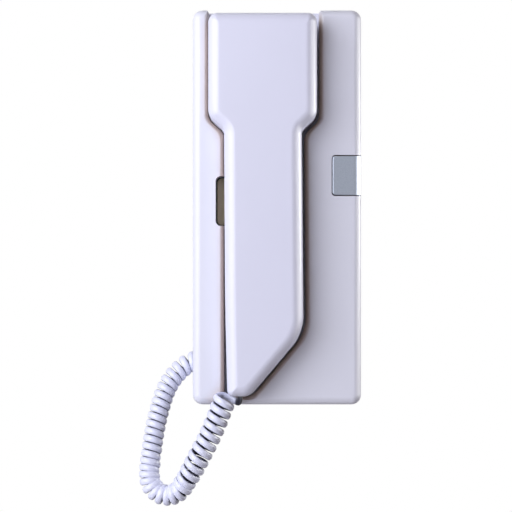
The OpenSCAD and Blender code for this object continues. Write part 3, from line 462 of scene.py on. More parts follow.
def moved(corners, shifts):
    """Corners (x, z, radius) with their edges moved inwards; shifts[k] is for the edge after corner k"""
    out = []
    for k, corner in enumerate(corners):
        here = Vector(corner[:2])
        u = (here - Vector(corners[k - 1][:2])).normalized()
        v = (Vector(corners[(k + 1) % len(corners)][:2]) - here).normalized()
        turn = u.cross(v)
        a = shifts[k - 1]
        b = shifts[k]
        point = here + (a * v - b * u) / turn
        radius = corner[2] - math.copysign((a + b) / 2, turn)
        out.append((point.x, point.y, max(radius, LEAST_RADIUS)))
    return out


def inset(corners, shift):
    """Corners with every edge moved inwards alike"""
    return moved(corners, [shift] * len(corners))


def rectangle(low, high, radius):
    """Corners of an upright rectangle between two points (x, z)"""
    return [(low[0], low[1], radius), (high[0], low[1], radius), (high[0], high[1], radius),
            (low[0], high[1], radius)]


def add_outline(bm, corners, y, steps):
    """Adds a flat face at depth y whose corners are rounded"""
    known = set(bm.faces)
    verts = [bm.verts.new((corner[0], y, corner[1])) for corner in corners]
    bm.faces.new(verts)
    for k, vert in enumerate(verts):
        here = Vector(corners[k][:2])
        before = here - Vector(corners[k - 1][:2])
        after = Vector(corners[(k + 1) % len(corners)][:2]) - here
        reach = corners[k][2] * math.tan(before.angle(after) / 2)
        bmesh.ops.bevel(bm, geom=[vert], offset=reach, offset_type="ABSOLUTE", segments=steps, profile=0.5,
                        affect="VERTICES", clamp_overlap=False, material=-1)
    return (set(bm.faces) - known).pop()


def loft(sections, steps=EDGE_STEPS):
    """A closed solid through outlines, each given as (corners, depth)"""
    bm = bmesh.new()
    faces = [add_outline(bm, corners, y, steps) for corners, y in sections]
    rims = [face.edges[:] for face in faces]
    bmesh.ops.delete(bm, geom=faces[1:-1], context="FACES_ONLY")
    for one, other in zip(rims, rims[1:]):
        bmesh.ops.bridge_loops(bm, edges=one + other)
    bmesh.ops.recalc_face_normals(bm, faces=bm.faces)
    return bm


def prism(corners, y_from, y_to):
    """A straight solid of an outline between two depths"""
    return loft([(corners, y_from), (corners, y_to)])


def quarter_turn(steps):
    """Angles of a quarter turn in equal steps"""
    return [math.pi / 2 * k / steps for k in range(steps + 1)]


def rounded(corners, y, side, radius, steps):
    """Outlines of an end at depth y whose rim is rounded; the end looks along side * Y"""
    return [(inset(corners, radius * (1 - math.cos(a))), y - side * radius * (1 - math.sin(a)))
            for a in quarter_turn(steps)]


def block(low, high):
    """A box between two corners"""
    bm = bmesh.new()
    low = Vector(low)
    high = Vector(high)
    place = Matrix.Translation((low + high) / 2) @ Matrix.Diagonal((*(high - low), 1))
    bmesh.ops.create_cube(bm, size=1, matrix=place)
    return bm


def rods(axis, spots, start, end, radius, sides=40):
    """Round rods along X, Y or Z from start to end, at spots on the plane of the other two"""
    turn = {"X": Matrix.Rotation(math.pi / 2, 4, "Y"), "Y": Matrix.Rotation(math.pi / 2, 4, "X"),
            "Z": Matrix.Identity(4)}[axis]
    bm = bmesh.new()
    for spot in spots:
        middle = list(spot)
        middle.insert("XYZ".index(axis), (start + end) / 2)
        bmesh.ops.create_cone(bm, cap_ends=True, segments=sides, radius1=radius, radius2=radius,
                              depth=abs(end - start), matrix=Matrix.Translation(middle) @ turn)
    return bm


def new_object(name, bm):
    """A mesh object of a finished bmesh"""
    mesh = bpy.data.meshes.new(name)
    bm.to_mesh(mesh)
    bm.free()
    item = bpy.data.objects.new(name, mesh)
    bpy.context.scene.collection.objects.link(item)
    return item


def discard(item):
    """Removes an object with its mesh"""
    mesh = item.data
    bpy.data.objects.remove(item)
    bpy.data.meshes.remove(mesh)


def take_solid(item):
    """The solid of an object, which is removed"""
    bm = bmesh.new()
    bm.from_mesh(item.data)
    discard(item)
    return bm


def bake(item):
    """Applies the modifiers of an object to its mesh"""
    graph = bpy.context.evaluated_depsgraph_get()
    mesh = bpy.data.meshes.new_from_object(item.evaluated_get(graph))
    item.modifiers.clear()
    old = item.data
    item.data = mesh
    bpy.data.meshes.remove(old)


def shape(item, bm, operation):
    """Cuts, joins or trims an object with another solid"""
    tool = new_object("tool", bm)
    change = item.modifiers.new("shape", "BOOLEAN")
    change.operation = operation
    change.solver = "EXACT"
    change.object = tool
    bake(item)
    discard(tool)


def cut(item, bm):
    """Takes a solid out of an object"""
    shape(item, bm, "DIFFERENCE")


def join(item, bm):
    """Adds a solid to an object"""
    shape(item, bm, "UNION")


def soften(item, width, degrees):
    """Breaks the edges of an object that are sharper than this with a small rounding"""
    edge = item.modifiers.new("edges", "BEVEL")
    edge.width = width
    edge.segments = 2
    edge.limit_method = "ANGLE"
    edge.angle_limit = math.radians(degrees)
    edge.use_clamp_overlap = True
    edge.miter_outer = "MITER_ARC"
    bake(item)


def finish_piece(item, name, material, body, slot, *nodes):
    """Smooths a piece, gives it its material and its body, and hides the CAD nodes it stands for"""
    if not item.data.polygons:
        raise RuntimeError(f"{name} has no faces")
    weld = 0.000002
    sharp = math.radians(32)
    bm = bmesh.new()
    bm.from_mesh(item.data)
    bmesh.ops.remove_doubles(bm, verts=bm.verts, dist=weld)
    for face in bm.faces:
        face.smooth = True
    for edge in bm.edges:
        edge.smooth = len(edge.link_faces) == 2 and edge.calc_face_angle() < sharp
    bm.to_mesh(item.data)
    bm.free()
    item.name = name
    item.data.name = name
    item.data.materials.clear()
    item.data.materials.append(material)
    normals = item.modifiers.new("normals", "WEIGHTED_NORMAL")
    normals.keep_sharp = True
    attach(item, body)
    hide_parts(*nodes)


# Shared forms of base and handset


def handset_corners(hand, lean):
    """Outline of the handset from the front, counter-clockwise from its left foot corner"""
    grip_left = HANDSET_X + hand.grip_shift - hand.grip_width / 2
    grip_right = grip_left + hand.grip_width
    foot_right = grip_left + hand.taper + hand.foot_width
    heel_right = grip_right + hand.flare
    heel_z = FRONT_LOW.z + hand.heel * (heel_right - foot_right) / (grip_right - foot_right)
    ear_left = FRONT_LOW.x + hand.ear_trim
    ear_z = FRONT_HIGH.z - hand.ear_length
    neck_z = ear_z - hand.neck
    knee = [(grip_left + hand.knee_lean, FRONT_LOW.z + hand.knee, KNEE_RADIUS)] if lean else []
    return [(grip_left + lean, FRONT_LOW.z, FOOT_RADIUS), (foot_right, FRONT_LOW.z, SOLE_RADIUS),
            (heel_right, heel_z, HEEL_RADIUS), (grip_right, neck_z, NECK_RADIUS),
            (FRONT_HIGH.x, ear_z, SHOULDER_RADIUS), (FRONT_HIGH.x, FRONT_HIGH.z, CROWN_RADIUS),
            (ear_left, FRONT_HIGH.z, CROWN_RADIUS), (ear_left, ear_z, SHOULDER_RADIUS),
            (grip_left, neck_z, NECK_RADIUS)] + knee


def channel_corners(base, hand, grow):
    """Outline of the channel, wider by grow, and open past the top of the base"""
    left = -base.gap_left - grow
    right = -base.gap_right - grow
    top = FRONT_HIGH.z - BASE_HIGH.z - base.corner_radius - grow
    shifts = [-base.gap_bottom - grow, right, right, right, right, top, left, left, left]
    corners = moved(handset_corners(hand, 0), shifts)
    x_right, z_top = corners[5][:2]
    x_left = corners[6][0]
    brow = BASE_HIGH.z + BROW_RISE
    out = LIP_REACH * base.lip_radius
    mouth = [(x_right, brow, base.lip_radius), (x_right + out, brow, LEAST_RADIUS),
             (x_right + out, z_top, LEAST_RADIUS), (x_left - out, z_top, LEAST_RADIUS),
             (x_left - out, brow, LEAST_RADIUS), (x_left, brow, base.lip_radius)]
    return corners[:5] + mouth + corners[7:]


def base_corners(base):
    """Outline of the base"""
    return rectangle((BASE_LOW.x, BASE_LOW.z), (BASE_HIGH.x, BASE_HIGH.z), base.corner_radius)


def base_block(base):
    """The base as a full block with a rounded front edge"""
    corners = base_corners(base)
    return loft([(corners, BASE_HIGH.y)] + rounded(corners, RAIL_Y, -1, base.edge_radius, EDGE_STEPS))


def button_outline(base, grow):
    """Outline of the door button, open to the right"""
    low = (BUTTON_LOW.x - grow, BUTTON_LOW.z + base.button_foot - grow)
    high = (BUTTON_HIGH.x + BUTTON_OVERHANG, BUTTON_HIGH.z - base.button_top + grow)
    return rectangle(low, high, BUTTON_CORNER + grow)


# Route of the curly cord, in millimetres, as in the part's source

CURL_AXIS = [
    (-45, -8, -86.5), (-49.5, -8.5, -88), (-54.5, -10, -91.5), (-59, -12, -96.5), (-62.5, -14, -102.5),
    (-65, -16, -109.5), (-67, -18, -117), (-68.6, -20, -125), (-69.8, -22, -133), (-70.8, -24, -141),
    (-71.3, -26, -148.5), (-70.4, -27.5, -153.7), (-67.4, -29, -157.7), (-62.8, -30.5, -159.8),
    (-57.8, -32, -159.3), (-53.8, -33.5, -156.6), (-51.2, -34.5, -152.6), (-48.5, -36, -148),
    (-45.5, -37, -142.5), (-42.3, -38, -136.4), (-38.8, -38, -129.6), (-35.4, -38, -122.4),
    (-32.2, -38, -114.6), (-29, -38, -106.5)]
CORD_HEAD = [(-41, -8, -86.5), (-43, -8, -86.5)]
CORD_TAIL = [(-31, -33.9, -103.9), (-28.2, -32.8, -104.9), (-25.2, -33, -106.2), (-22.8, -34.2, -107.4),
             (-21.2, -35.8, -107.6), (-20.5, -37, -105.8), (-20.5, -37, -102.5)]
CORD_HEAD_WIDE = (0, -1, 1)
# Distance along the axis, and the value there
CURL_PITCH = [(0, 4.7), (10, 4.5), (20, 4.15), (60, 4.15), (70, 3.5), (98, 3.5), (108, 4.75), (152, 4.8)]
CURL_SWELL = [(0, 0), (0.6, 0.35), (2.4, 1)]
CURL_WIDEN = [(96, 0), (116, 1)]
BEND_SHARE = [(56, 0), (66, 1), (101, 1), (110, 0)]
# Steps between two points of a smooth curve, reach for its direction there, and the tail's lead in turns
CURVE_STEPS = 6
AXIS_REACH = 0.02
TAIL_LEAD = 0.12


def lookup(x, table):
    """Value at x of a table of (place, value), straight between its places"""
    if x <= table[0][0]:
        return table[0][1]
    for (a, low), (b, high) in zip(table, table[1:]):
        if x <= b:
            return low + (high - low) * (x - a) / (b - a)
    return table[-1][1]


def spline(points, t):
    """Smooth curve through points, at position t counted in points"""
    last = len(points) - 1
    k = min(int(t), last - 1)
    f = t - k
    a = points[max(k - 1, 0)]
    b = points[k]
    c = points[k + 1]
    d = points[min(k + 2, last)]
    square = 2 * a - 5 * b + 4 * c - d
    cube = 3 * b - a - 3 * c + d
    return (2 * b + (c - a) * f + square * f ** 2 + cube * f ** 3) / 2


def cable_route(cord):
    """Middle of the cable from the base plug to the handset plug, in metres, and ways of its width"""
    axis = [Vector(p) for p in CURL_AXIS]
    marks = [(0.0, 0.0)]
    for i in range(1, (len(axis) - 1) * CURVE_STEPS + 1):
        step = (spline(axis, i / CURVE_STEPS) - spline(axis, (i - 1) / CURVE_STEPS)).length
        marks.append((marks[-1][0] + step, i / CURVE_STEPS))
    whole = marks[-1][0]
    starts = [0.0]
    while starts[-1] + lookup(starts[-1], CURL_PITCH) <= whole:
        starts.append(starts[-1] + lookup(starts[-1], CURL_PITCH))
    starts = [d * whole / starts[-1] for d in starts]
    count = len(starts) - 1
    curl = cord.curl_radius * 1000
    wider = cord.far_radius * 1000 - curl
    step_out = cord.bend_step * 1000

    def cable_point(turns):
        k = min(int(turns), count - 1)
        d = starts[k] + (starts[k + 1] - starts[k]) * (turns - k)
        t = lookup(d, marks)
        along = spline(axis, min(t + AXIS_REACH, len(axis) - 1)) - spline(axis, max(t - AXIS_REACH, 0))
        along.normalize()
        front = Vector((0, -1, 0)) - along * along.dot(Vector((0, -1, 0)))
        front.normalize()
        across = along.cross(front)
        a = math.radians(360 * turns + 90)
        sway = step_out * lookup(d, BEND_SHARE) * math.sin(a / 2 + math.pi / 4)
        r = (curl + wider * lookup(d, CURL_WIDEN) + sway) * lookup(d, CURL_SWELL)
        return spline(axis, t) + r * (math.cos(a) * front - math.sin(a) * across), along

    curls = [cable_point(i / cord.curl_points) for i in range(count * cord.curl_points + 1)]
    points = [Vector(p) for p in CORD_HEAD] + [point for point, along in curls]
    ways = [Vector(CORD_HEAD_WIDE) for p in CORD_HEAD] + [along for point, along in curls]
    bend = [cable_point(count - TAIL_LEAD)[0], points[-1]] + [Vector(p) for p in CORD_TAIL]
    points += [spline(bend, 1 + i / CURVE_STEPS) for i in range(1, (len(bend) - 2) * CURVE_STEPS + 1)]
    return [p / 1000 for p in points], ways


def cable_outline(cord):
    """Outline of the cable across its length: a crowned oval, its width along X"""
    w = cord.cable_width / 2
    h = cord.cable_thickness / 2
    side = 0.00085
    crown = 0.0019
    low = 0.3 * h
    top = 0.55 * w
    right = [(w, -low, side), (w, low, side), (top, h, crown)]
    left = [(-top, h, crown), (-w, low, side), (-w, -low, side)]
    return [(-top, -h, crown), (top, -h, crown)] + right + left


def cable_places(route, ways):
    """A place for the cable's outline at each point: X along its width, Y along the cable"""
    places = []
    for i, point in enumerate(route):
        along = (route[min(i + 1, len(route) - 1)] - route[max(i - 1, 0)]).normalized()
        way = ways[i] if i < len(ways) else wide
        wide = (way - along * along.dot(way)).normalized()
        turn = Matrix((wide, along, wide.cross(along))).transposed().to_4x4()
        places.append(Matrix.Translation(point) @ turn)
    return places


def sweep(corners, places):
    """A solid of an outline moved through places; its vertices keep the number of their place"""
    bm = bmesh.new()
    number = bm.verts.layers.int.new("place")
    rim = add_outline(bm, corners, 0, 2).edges[:]
    bmesh.ops.transform(bm, matrix=places[0], verts=bm.verts[:])
    for i in range(1, len(places)):
        made = bmesh.ops.extrude_edge_only(bm, edges=rim)["geom"]
        rim = [item for item in made if isinstance(item, bmesh.types.BMEdge)]
        verts = [item for item in made if isinstance(item, bmesh.types.BMVert)]
        bmesh.ops.transform(bm, matrix=places[i] @ places[i - 1].inverted(), verts=verts)
        for vert in verts:
            vert[number] = i
    bmesh.ops.holes_fill(bm, edges=rim)
    bmesh.ops.recalc_face_normals(bm, faces=bm.faces)
    return bm


# Operators


class IntercomOperator:
    """Shared settings of the operators"""
    bl_options = {"REGISTER", "UNDO"}


class INTERCOM_OT_stage(IntercomOperator, bpy.types.Operator):
    """Camera at the photograph's viewing angle, soft studio light, white surround and pale floor"""
    bl_idname = "intercom.stage"
    bl_label = "Stage"

    def execute(self, context):
        scene = context.scene
        scene.view_settings.view_transform = "Standard"
        sensor_mm = 36
        distance = 0.8
        seen_width = 0.2859
        lens = bpy.data.cameras.new("camera")
        lens.lens = sensor_mm * distance / seen_width
        camera = bpy.data.objects.new("camera", lens)
        camera.location = (-0.0117, -0.826, -0.0271)
        camera.rotation_euler = (math.pi / 2, 0, 0)
        scene.collection.objects.link(camera)
        scene.camera = camera
        self.lamp(scene, "key", (-0.7, -0.78, 0.27), 1.1, 17.5, "#f6f7ff")
        self.lamp(scene, "side", (0.55, 0.13, 0.05), 0.16, 1.9, "#ffffff")
        card = self.lamp(scene, "card", (0.5, -0.12, 0.05), 0.5, 4.2, "#ffffff")
        card.visible_diffuse = False
        self.surround(scene)
        self.floor()
        return {"FINISHED"}

    def lamp(self, scene, name, place, size, watts, hex_colour):
        """A square soft lamp that looks at the middle of the object"""
        light = bpy.data.lights.new(name, "AREA")
        light.size = size
        light.energy = watts
        light.color = linear(hex_colour)
        item = bpy.data.objects.new(name, light)
        item.location = place
        target = Vector((0, -0.03, 0))
        item.rotation_euler = (target - item.location).to_track_quat("-Z", "Y").to_euler()
        scene.collection.objects.link(item)
        return item

    def surround(self, scene):
        """White where the camera, a gloss or a clear piece looks, and a faint warm light for the rest"""
        world = bpy.data.worlds.new("studio")
        world.use_nodes = True
        tree = world.node_tree
        tree.nodes.clear()
        rays = add_node(tree, "ShaderNodeLightPath").outputs
        gloss = add_node(tree, "ShaderNodeMath", {0: rays["Is Glossy Ray"], 1: rays["Is Transmission Ray"]},
                         operation="MAXIMUM")
        seen = add_node(tree, "ShaderNodeMath", {0: rays["Is Camera Ray"], 1: gloss.outputs["Value"]},
                        operation="MAXIMUM")
        soft = add_node(tree, "ShaderNodeBackground", {"Color": (*linear("#ffc8a4"), 1), "Strength": 0.06})
        white = add_node(tree, "ShaderNodeBackground", {"Color": (1, 1, 1, 1), "Strength": 1})
        both = add_node(tree, "ShaderNodeMixShader", {
            0: seen.outputs["Value"], 1: soft.outputs["Background"], 2: white.outputs["Background"]})
        add_node(tree, "ShaderNodeOutputWorld", {"Surface": both.outputs["Shader"]})
        scene.world = world

    def floor(self):
        """Pale painted floor below the object, pale for the camera too so far from the lamps"""
        bm = bmesh.new()
        bmesh.ops.create_grid(bm, x_segments=8, y_segments=8, size=1.4,
                              matrix=Matrix.Translation((0, 0, -0.8)))
        item = new_object("floor", bm)
        paint = moulded("painted_floor", linear("#f4f4f6"), 0.7, 6, 0.05, 0.01)
        tree = paint.node_tree
        rays = add_node(tree, "ShaderNodeLightPath")
        surface = tree.nodes["Principled BSDF"]
        surface.inputs["Emission Color"].default_value = (*linear("#d4d4d6"), 1)
        tree.links.new(rays.outputs["Is Camera Ray"], surface.inputs["Emission Strength"])
        item.data.materials.append(paint)


class INTERCOM_OT_curly_cord(IntercomOperator, bpy.types.Operator):
    """Curly cord from the base to the foot of the handset"""
    bl_idname = "intercom.curly_cord"
    bl_label = "Curly cord"

    def execute(self, context):
        cord = context.scene.intercom_cord
        route, ways = cable_route(cord)
        places = cable_places(route, ways)
        bm = sweep(cable_outline(cord), places)
        self.paint_curl_shade(bm, places, len(ways), cord.cable_thickness / 2)
        for face in bm.faces:
            face.smooth = len(face.verts) == 4
        item = new_object("coiled_cord", bm)
        mesh = item.data
        mesh.materials.clear()
        mesh.materials.append(vinyl_sheath(context.scene.intercom_colours.cord))
        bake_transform(item, "base", "handset", start=route[0], end=route[-1])
        self.share_by_length(mesh, route)
        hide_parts("curly_cord")
        return {"FINISHED"}

    def paint_curl_shade(self, bm, places, curl_end, height):
        """Marks the sides between curls and the shaded run under the foot, where painted shade darkens the
        sheath
        """
        number = bm.verts.layers.int["place"]
        curl_shade = bm.verts.layers.float.new("curl_shade")
        back = [place.inverted() for place in places]
        for vert in bm.verts:
            i = vert[number]
            depth = min(1 - (back[i] @ vert.co).z / height, CURL_SHADE_FULL)
            last = min(max((curl_end - i) / CURL_SHADE_FADE, 0), 1)
            run = min(max((i - curl_end - SHADED_RUN_START) / SHADED_RUN_FADE, 0), 1)
            vert[curl_shade] = max(depth * last, run)

    def share_by_length(self, mesh, route):
        """Each curl follows the handset by its place along the cable, so that the middle curls open most"""
        travelled = [0.0]
        for a, b in zip(route, route[1:]):
            travelled.append(travelled[-1] + (b - a).length)
        number = mesh.attributes["place"]
        share = mesh.attributes["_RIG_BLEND"]
        for place, part in zip(number.data, share.data):
            f = travelled[place.value] / travelled[-1]
            part.value = f * f * (3 - 2 * f)
        mesh.attributes.remove(number)


class INTERCOM_OT_base_housing(IntercomOperator, bpy.types.Operator):
    """Base housing with the handset channel, the button well, the lever notch and its inside"""
    bl_idname = "intercom.base_housing"
    bl_label = "Base housing"

    def execute(self, context):
        base = context.scene.intercom_base
        hand = context.scene.intercom_handset
        item = new_object("base_shell", base_block(base))
        cut(item, self.inside(base, hand))
        cut(item, self.channel(base, hand))
        self.openings(item, base)
        self.fittings(item, base)
        colours = context.scene.intercom_colours
        # The base's plastic carries painted shade: a warm brown tint on the channel's rim where the
        # handset's shadow falls
        material = moulded("moulded_abs_base", colours.base, 0.36, 1.2, 0.02, 0.012, painted_shade=colours.painted_shade)
        finish_piece(item, "base_shell", material, "base", "base_plastic", "base_housing")
        return {"FINISHED"}

    def channel(self, base, hand):
        """The cut for the handset, with a rounded rim"""
        mouth = [(channel_corners(base, hand, base.rim_width * (1 - math.sin(a))),
                  RAIL_Y + base.rim_depth * (1 - math.cos(a))) for a in quarter_turn(EDGE_STEPS)]
        before = (channel_corners(base, hand, base.rim_width), RAIL_Y - PAST)
        floor = (channel_corners(base, hand, 0), RAIL_Y + base.channel_depth)
        return loft([before] + mouth + [floor])

    def inside(self, base, hand):
        """The hollow behind the front, less the tub of the channel and the walls round the openings"""
        floor_back = RAIL_Y + base.channel_depth + base.wall
        room = new_object("room", prism(inset(base_corners(base), base.wall), PAST, RAIL_Y + base.wall))
        cut(room, prism(channel_corners(base, hand, base.wall), floor_back, RAIL_Y))
        well = button_outline(base, base.button_gap + WELL_WALL)
        cut(room, prism(well, RAIL_Y + WELL_DEPTH + WELL_WALL, RAIL_Y - PAST))
        reach = base.paddle_gap + base.wall
        cut(room, block((PADDLE_LOW.x - reach, RAIL_Y - PAST, PADDLE_LOW.z - reach),
                        (PADDLE_LOW.x + LEVER_SHOWN, floor_back, PADDLE_HIGH.z + reach)))
        return take_solid(room)

    def openings(self, item, base):
        """Button well, lever room, sound slots, cord notch and the recess of the housing screw"""
        floor_y = RAIL_Y + base.channel_depth
        behind = floor_y + base.wall + PAST
        well_y = RAIL_Y + WELL_DEPTH
        cut(item, prism(button_outline(base, base.button_gap), well_y, RAIL_Y - PAST))
        cut(item, rods("Y", STEM, well_y - PAST, well_y + STEM_REACH, STEM_BORE))
        gap = base.paddle_gap
        low = (PADDLE_LOW.x - gap, PADDLE_LOW.z - gap)
        high = (PADDLE_HIGH.x + gap, PADDLE_HIGH.z + gap)
        grip_left = PADDLE_LOW.x + LEVER_SHOWN
        radius = LEVER_CORNER + gap
        cut(item, prism(rectangle(low, (grip_left + radius, high[1]), radius), behind, RAIL_Y - PAST))
        cut(item, prism(rectangle((grip_left, low[1]), high, radius), behind, floor_y - PAST))
        for k in range(-2, 3):
            x = SLOT_PITCH * k
            slot = rectangle((x - SLOT_HALF, SLOT_LOW), (x + SLOT_HALF, SLOT_HIGH), SLOT_RADIUS)
            cut(item, prism(slot, behind, floor_y - PAST))
        left = BASE_LOW.x - PAST
        inner = BASE_LOW.x + base.wall + PAST
        cut(item, rods("X", [(NOTCH_Y, NOTCH_Z)], left, inner, NOTCH_RADIUS))
        cut(item, block((left, NOTCH_Y, NOTCH_Z - NOTCH_RADIUS), (inner, PAST, NOTCH_Z + NOTCH_RADIUS)))
        low_z = BASE_LOW.z
        cut(item, rods("Z", SCREW, low_z - PAST, low_z + SCREW_RECESS, SCREW_HEAD_RADIUS))
        cut(item, rods("Z", SCREW, low_z, low_z + base.wall + PAST, SCREW_RADIUS))

    def fittings(self, item, base):
        """The nub that the handset hangs on, and the two lugs of the lever's pin"""
        floor_y = RAIL_Y + base.channel_depth
        root_y = floor_y + FLOOR_ROOT
        nub = block((HANDSET_X - NUB_HALF, floor_y - NUB_HEIGHT, NUB_LOW),
                    (HANDSET_X + NUB_HALF, root_y, NUB_HIGH))
        front = [edge for edge in nub.edges if all(vert.co.y < floor_y for vert in edge.verts)]
        bmesh.ops.bevel(nub, geom=front, offset=NUB_EDGE, offset_type="OFFSET", segments=3, profile=0.5,
                        affect="EDGES", material=-1)
        join(item, nub)
        for low_z in (PIN_LOW.z - LUG_LAP, PIN_HIGH.z + LUG_LAP - LUG_HEIGHT):
            high_z = low_z + LUG_HEIGHT
            lug = new_object("lug", block((PIN_X - LUG_HALF, root_y, low_z),
                                          (PIN_X + LUG_HALF, PIN_Y + LUG_HALF, high_z)))
            cut(lug, rods("Z", [(PIN_X, PIN_Y)], low_z - PAST, high_z + PAST, PIN_BORE))
            join(item, take_solid(lug))


class INTERCOM_OT_door_button(IntercomOperator, bpy.types.Operator):
    """Silver door button, flush with the base, with its stem"""
    bl_idname = "intercom.door_button"
    bl_label = "Door button"

    def execute(self, context):
        base = context.scene.intercom_base
        outline = button_outline(base, 0)
        item = new_object("button_cap", base_block(base))
        shape(item, loft([(outline, RAIL_Y + BUTTON_THICKNESS), (outline, RAIL_Y + BUTTON_SLOPE),
                          (inset(outline, 2 * base.button_chamfer), RAIL_Y - BUTTON_SLOPE)]), "INTERSECT")
        soften(item, BUTTON_EDGE, BUTTON_SHARP_DEGREES)
        join(item, rods("Y", STEM, RAIL_Y + STEM_ROOT, BUTTON_HIGH.y, STEM_RADIUS))
        material = silver_lacquer(context.scene.intercom_colours.button)
        finish_piece(item, "button_cap", material, "door_button", "silver_paint", "door_button")
        return {"FINISHED"}


class INTERCOM_OT_hook_lever(IntercomOperator, bpy.types.Operator):
    """Hook lever in the channel floor: a plate with a knuckle on its pin and a nose behind the handset"""
    bl_idname = "intercom.hook_lever"
    bl_label = "Hook lever"

    def execute(self, context):
        floor_y = RAIL_Y + context.scene.intercom_base.channel_depth
        low_z = PADDLE_LOW.z
        high_z = PADDLE_HIGH.z
        corners = rectangle((PADDLE_LOW.x, low_z), (PADDLE_HIGH.x, high_z), LEVER_CORNER)
        plate = loft([(corners, floor_y + LEVER_THICKNESS)] + rounded(corners, floor_y, -1, LEVER_EDGE, 4))
        item = new_object("hook_lever", plate)
        pin = [(PIN_X, PIN_Y)]
        join(item, rods("Z", pin, low_z + KNUCKLE_INSET, high_z - KNUCKLE_INSET, KNUCKLE_RADIUS))
        join(item, self.nose(floor_y))
        cut(item, rods("Z", pin, low_z - PAST, high_z + PAST, PIN_BORE))
        olive = context.scene.intercom_colours.lever
        material = moulded("moulded_polyamide_lever", olive, 0.5, 1, 0.02, 0.05)
        finish_piece(item, "hook_lever", material, "hook_paddle", "paddle_plastic", "hook_paddle")
        return {"FINISHED"}

    def nose(self, floor_y):
        """The rounded ridge that the back of the handset pushes"""
        x = PADDLE_HIGH.x - NOSE_INSET
        low = PADDLE_LOW.z + NOSE_RISE
        bm = rods("Z", [(x, floor_y)], low, low + NOSE_LENGTH, floor_y - PADDLE_LOW.y)
        rims = [edge for edge in bm.edges if abs(edge.verts[0].co.z - edge.verts[1].co.z) < 1e-6]
        bmesh.ops.bevel(bm, geom=rims, offset=NOSE_EDGE, offset_type="OFFSET", segments=4, profile=0.5,
                        affect="EDGES", material=-1)
        everything = bm.verts[:] + bm.edges[:] + bm.faces[:]
        bmesh.ops.bisect_plane(bm, geom=everything, plane_co=(x, floor_y + NOSE_ROOT, low),
                               plane_no=(0, 1, 0), clear_outer=True)
        bmesh.ops.holes_fill(bm, edges=[edge for edge in bm.edges if edge.is_boundary])
        bmesh.ops.recalc_face_normals(bm, faces=bm.faces)
        return bm


class INTERCOM_OT_handset_front(IntercomOperator, bpy.types.Operator):
    """Front shell of the handset, with its rounded face and the opening of the plug"""
    bl_idname = "intercom.handset_front"
    bl_label = "Handset front"

    def execute(self, context):
        hand = context.scene.intercom_handset
        corners = handset_corners(hand, hand.taper)
        seam = [(inset(corners, hand.seam), FRONT_HIGH.y), (corners, FRONT_HIGH.y - hand.seam)]
        front = rounded(corners, FRONT_LOW.y, -1, hand.edge_radius, HANDSET_STEPS)
        bm = loft(seam + front, HANDSET_STEPS)
        open_side = max(bm.faces, key=lambda face: face.calc_center_median().y)
        bmesh.ops.delete(bm, geom=[open_side], context="FACES_ONLY")
        item = new_object("handset_front", bm)
        wall = item.modifiers.new("wall", "SOLIDIFY")
        wall.thickness = hand.wall - hand.seam
        wall.offset = -1
        wall.use_even_offset = True
        bake(item)
        plug_low, plug_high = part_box("handset_plug")
        cut(item, block((plug_low.x - PLUG_PLAY, plug_low.y - PLUG_PLAY, FRONT_LOW.z - PAST),
                        (plug_high.x + PLUG_PLAY, plug_high.y + PLUG_PLAY, FRONT_LOW.z + 2 * hand.wall)))
        white = context.scene.intercom_colours.handset
        material = moulded("moulded_abs_handset_front", white, 0.34, 1.2, 0.02, 0.012)
        finish_piece(item, "handset_front", material, "handset", "handset_plastic", "handset_front_shell")
        return {"FINISHED"}


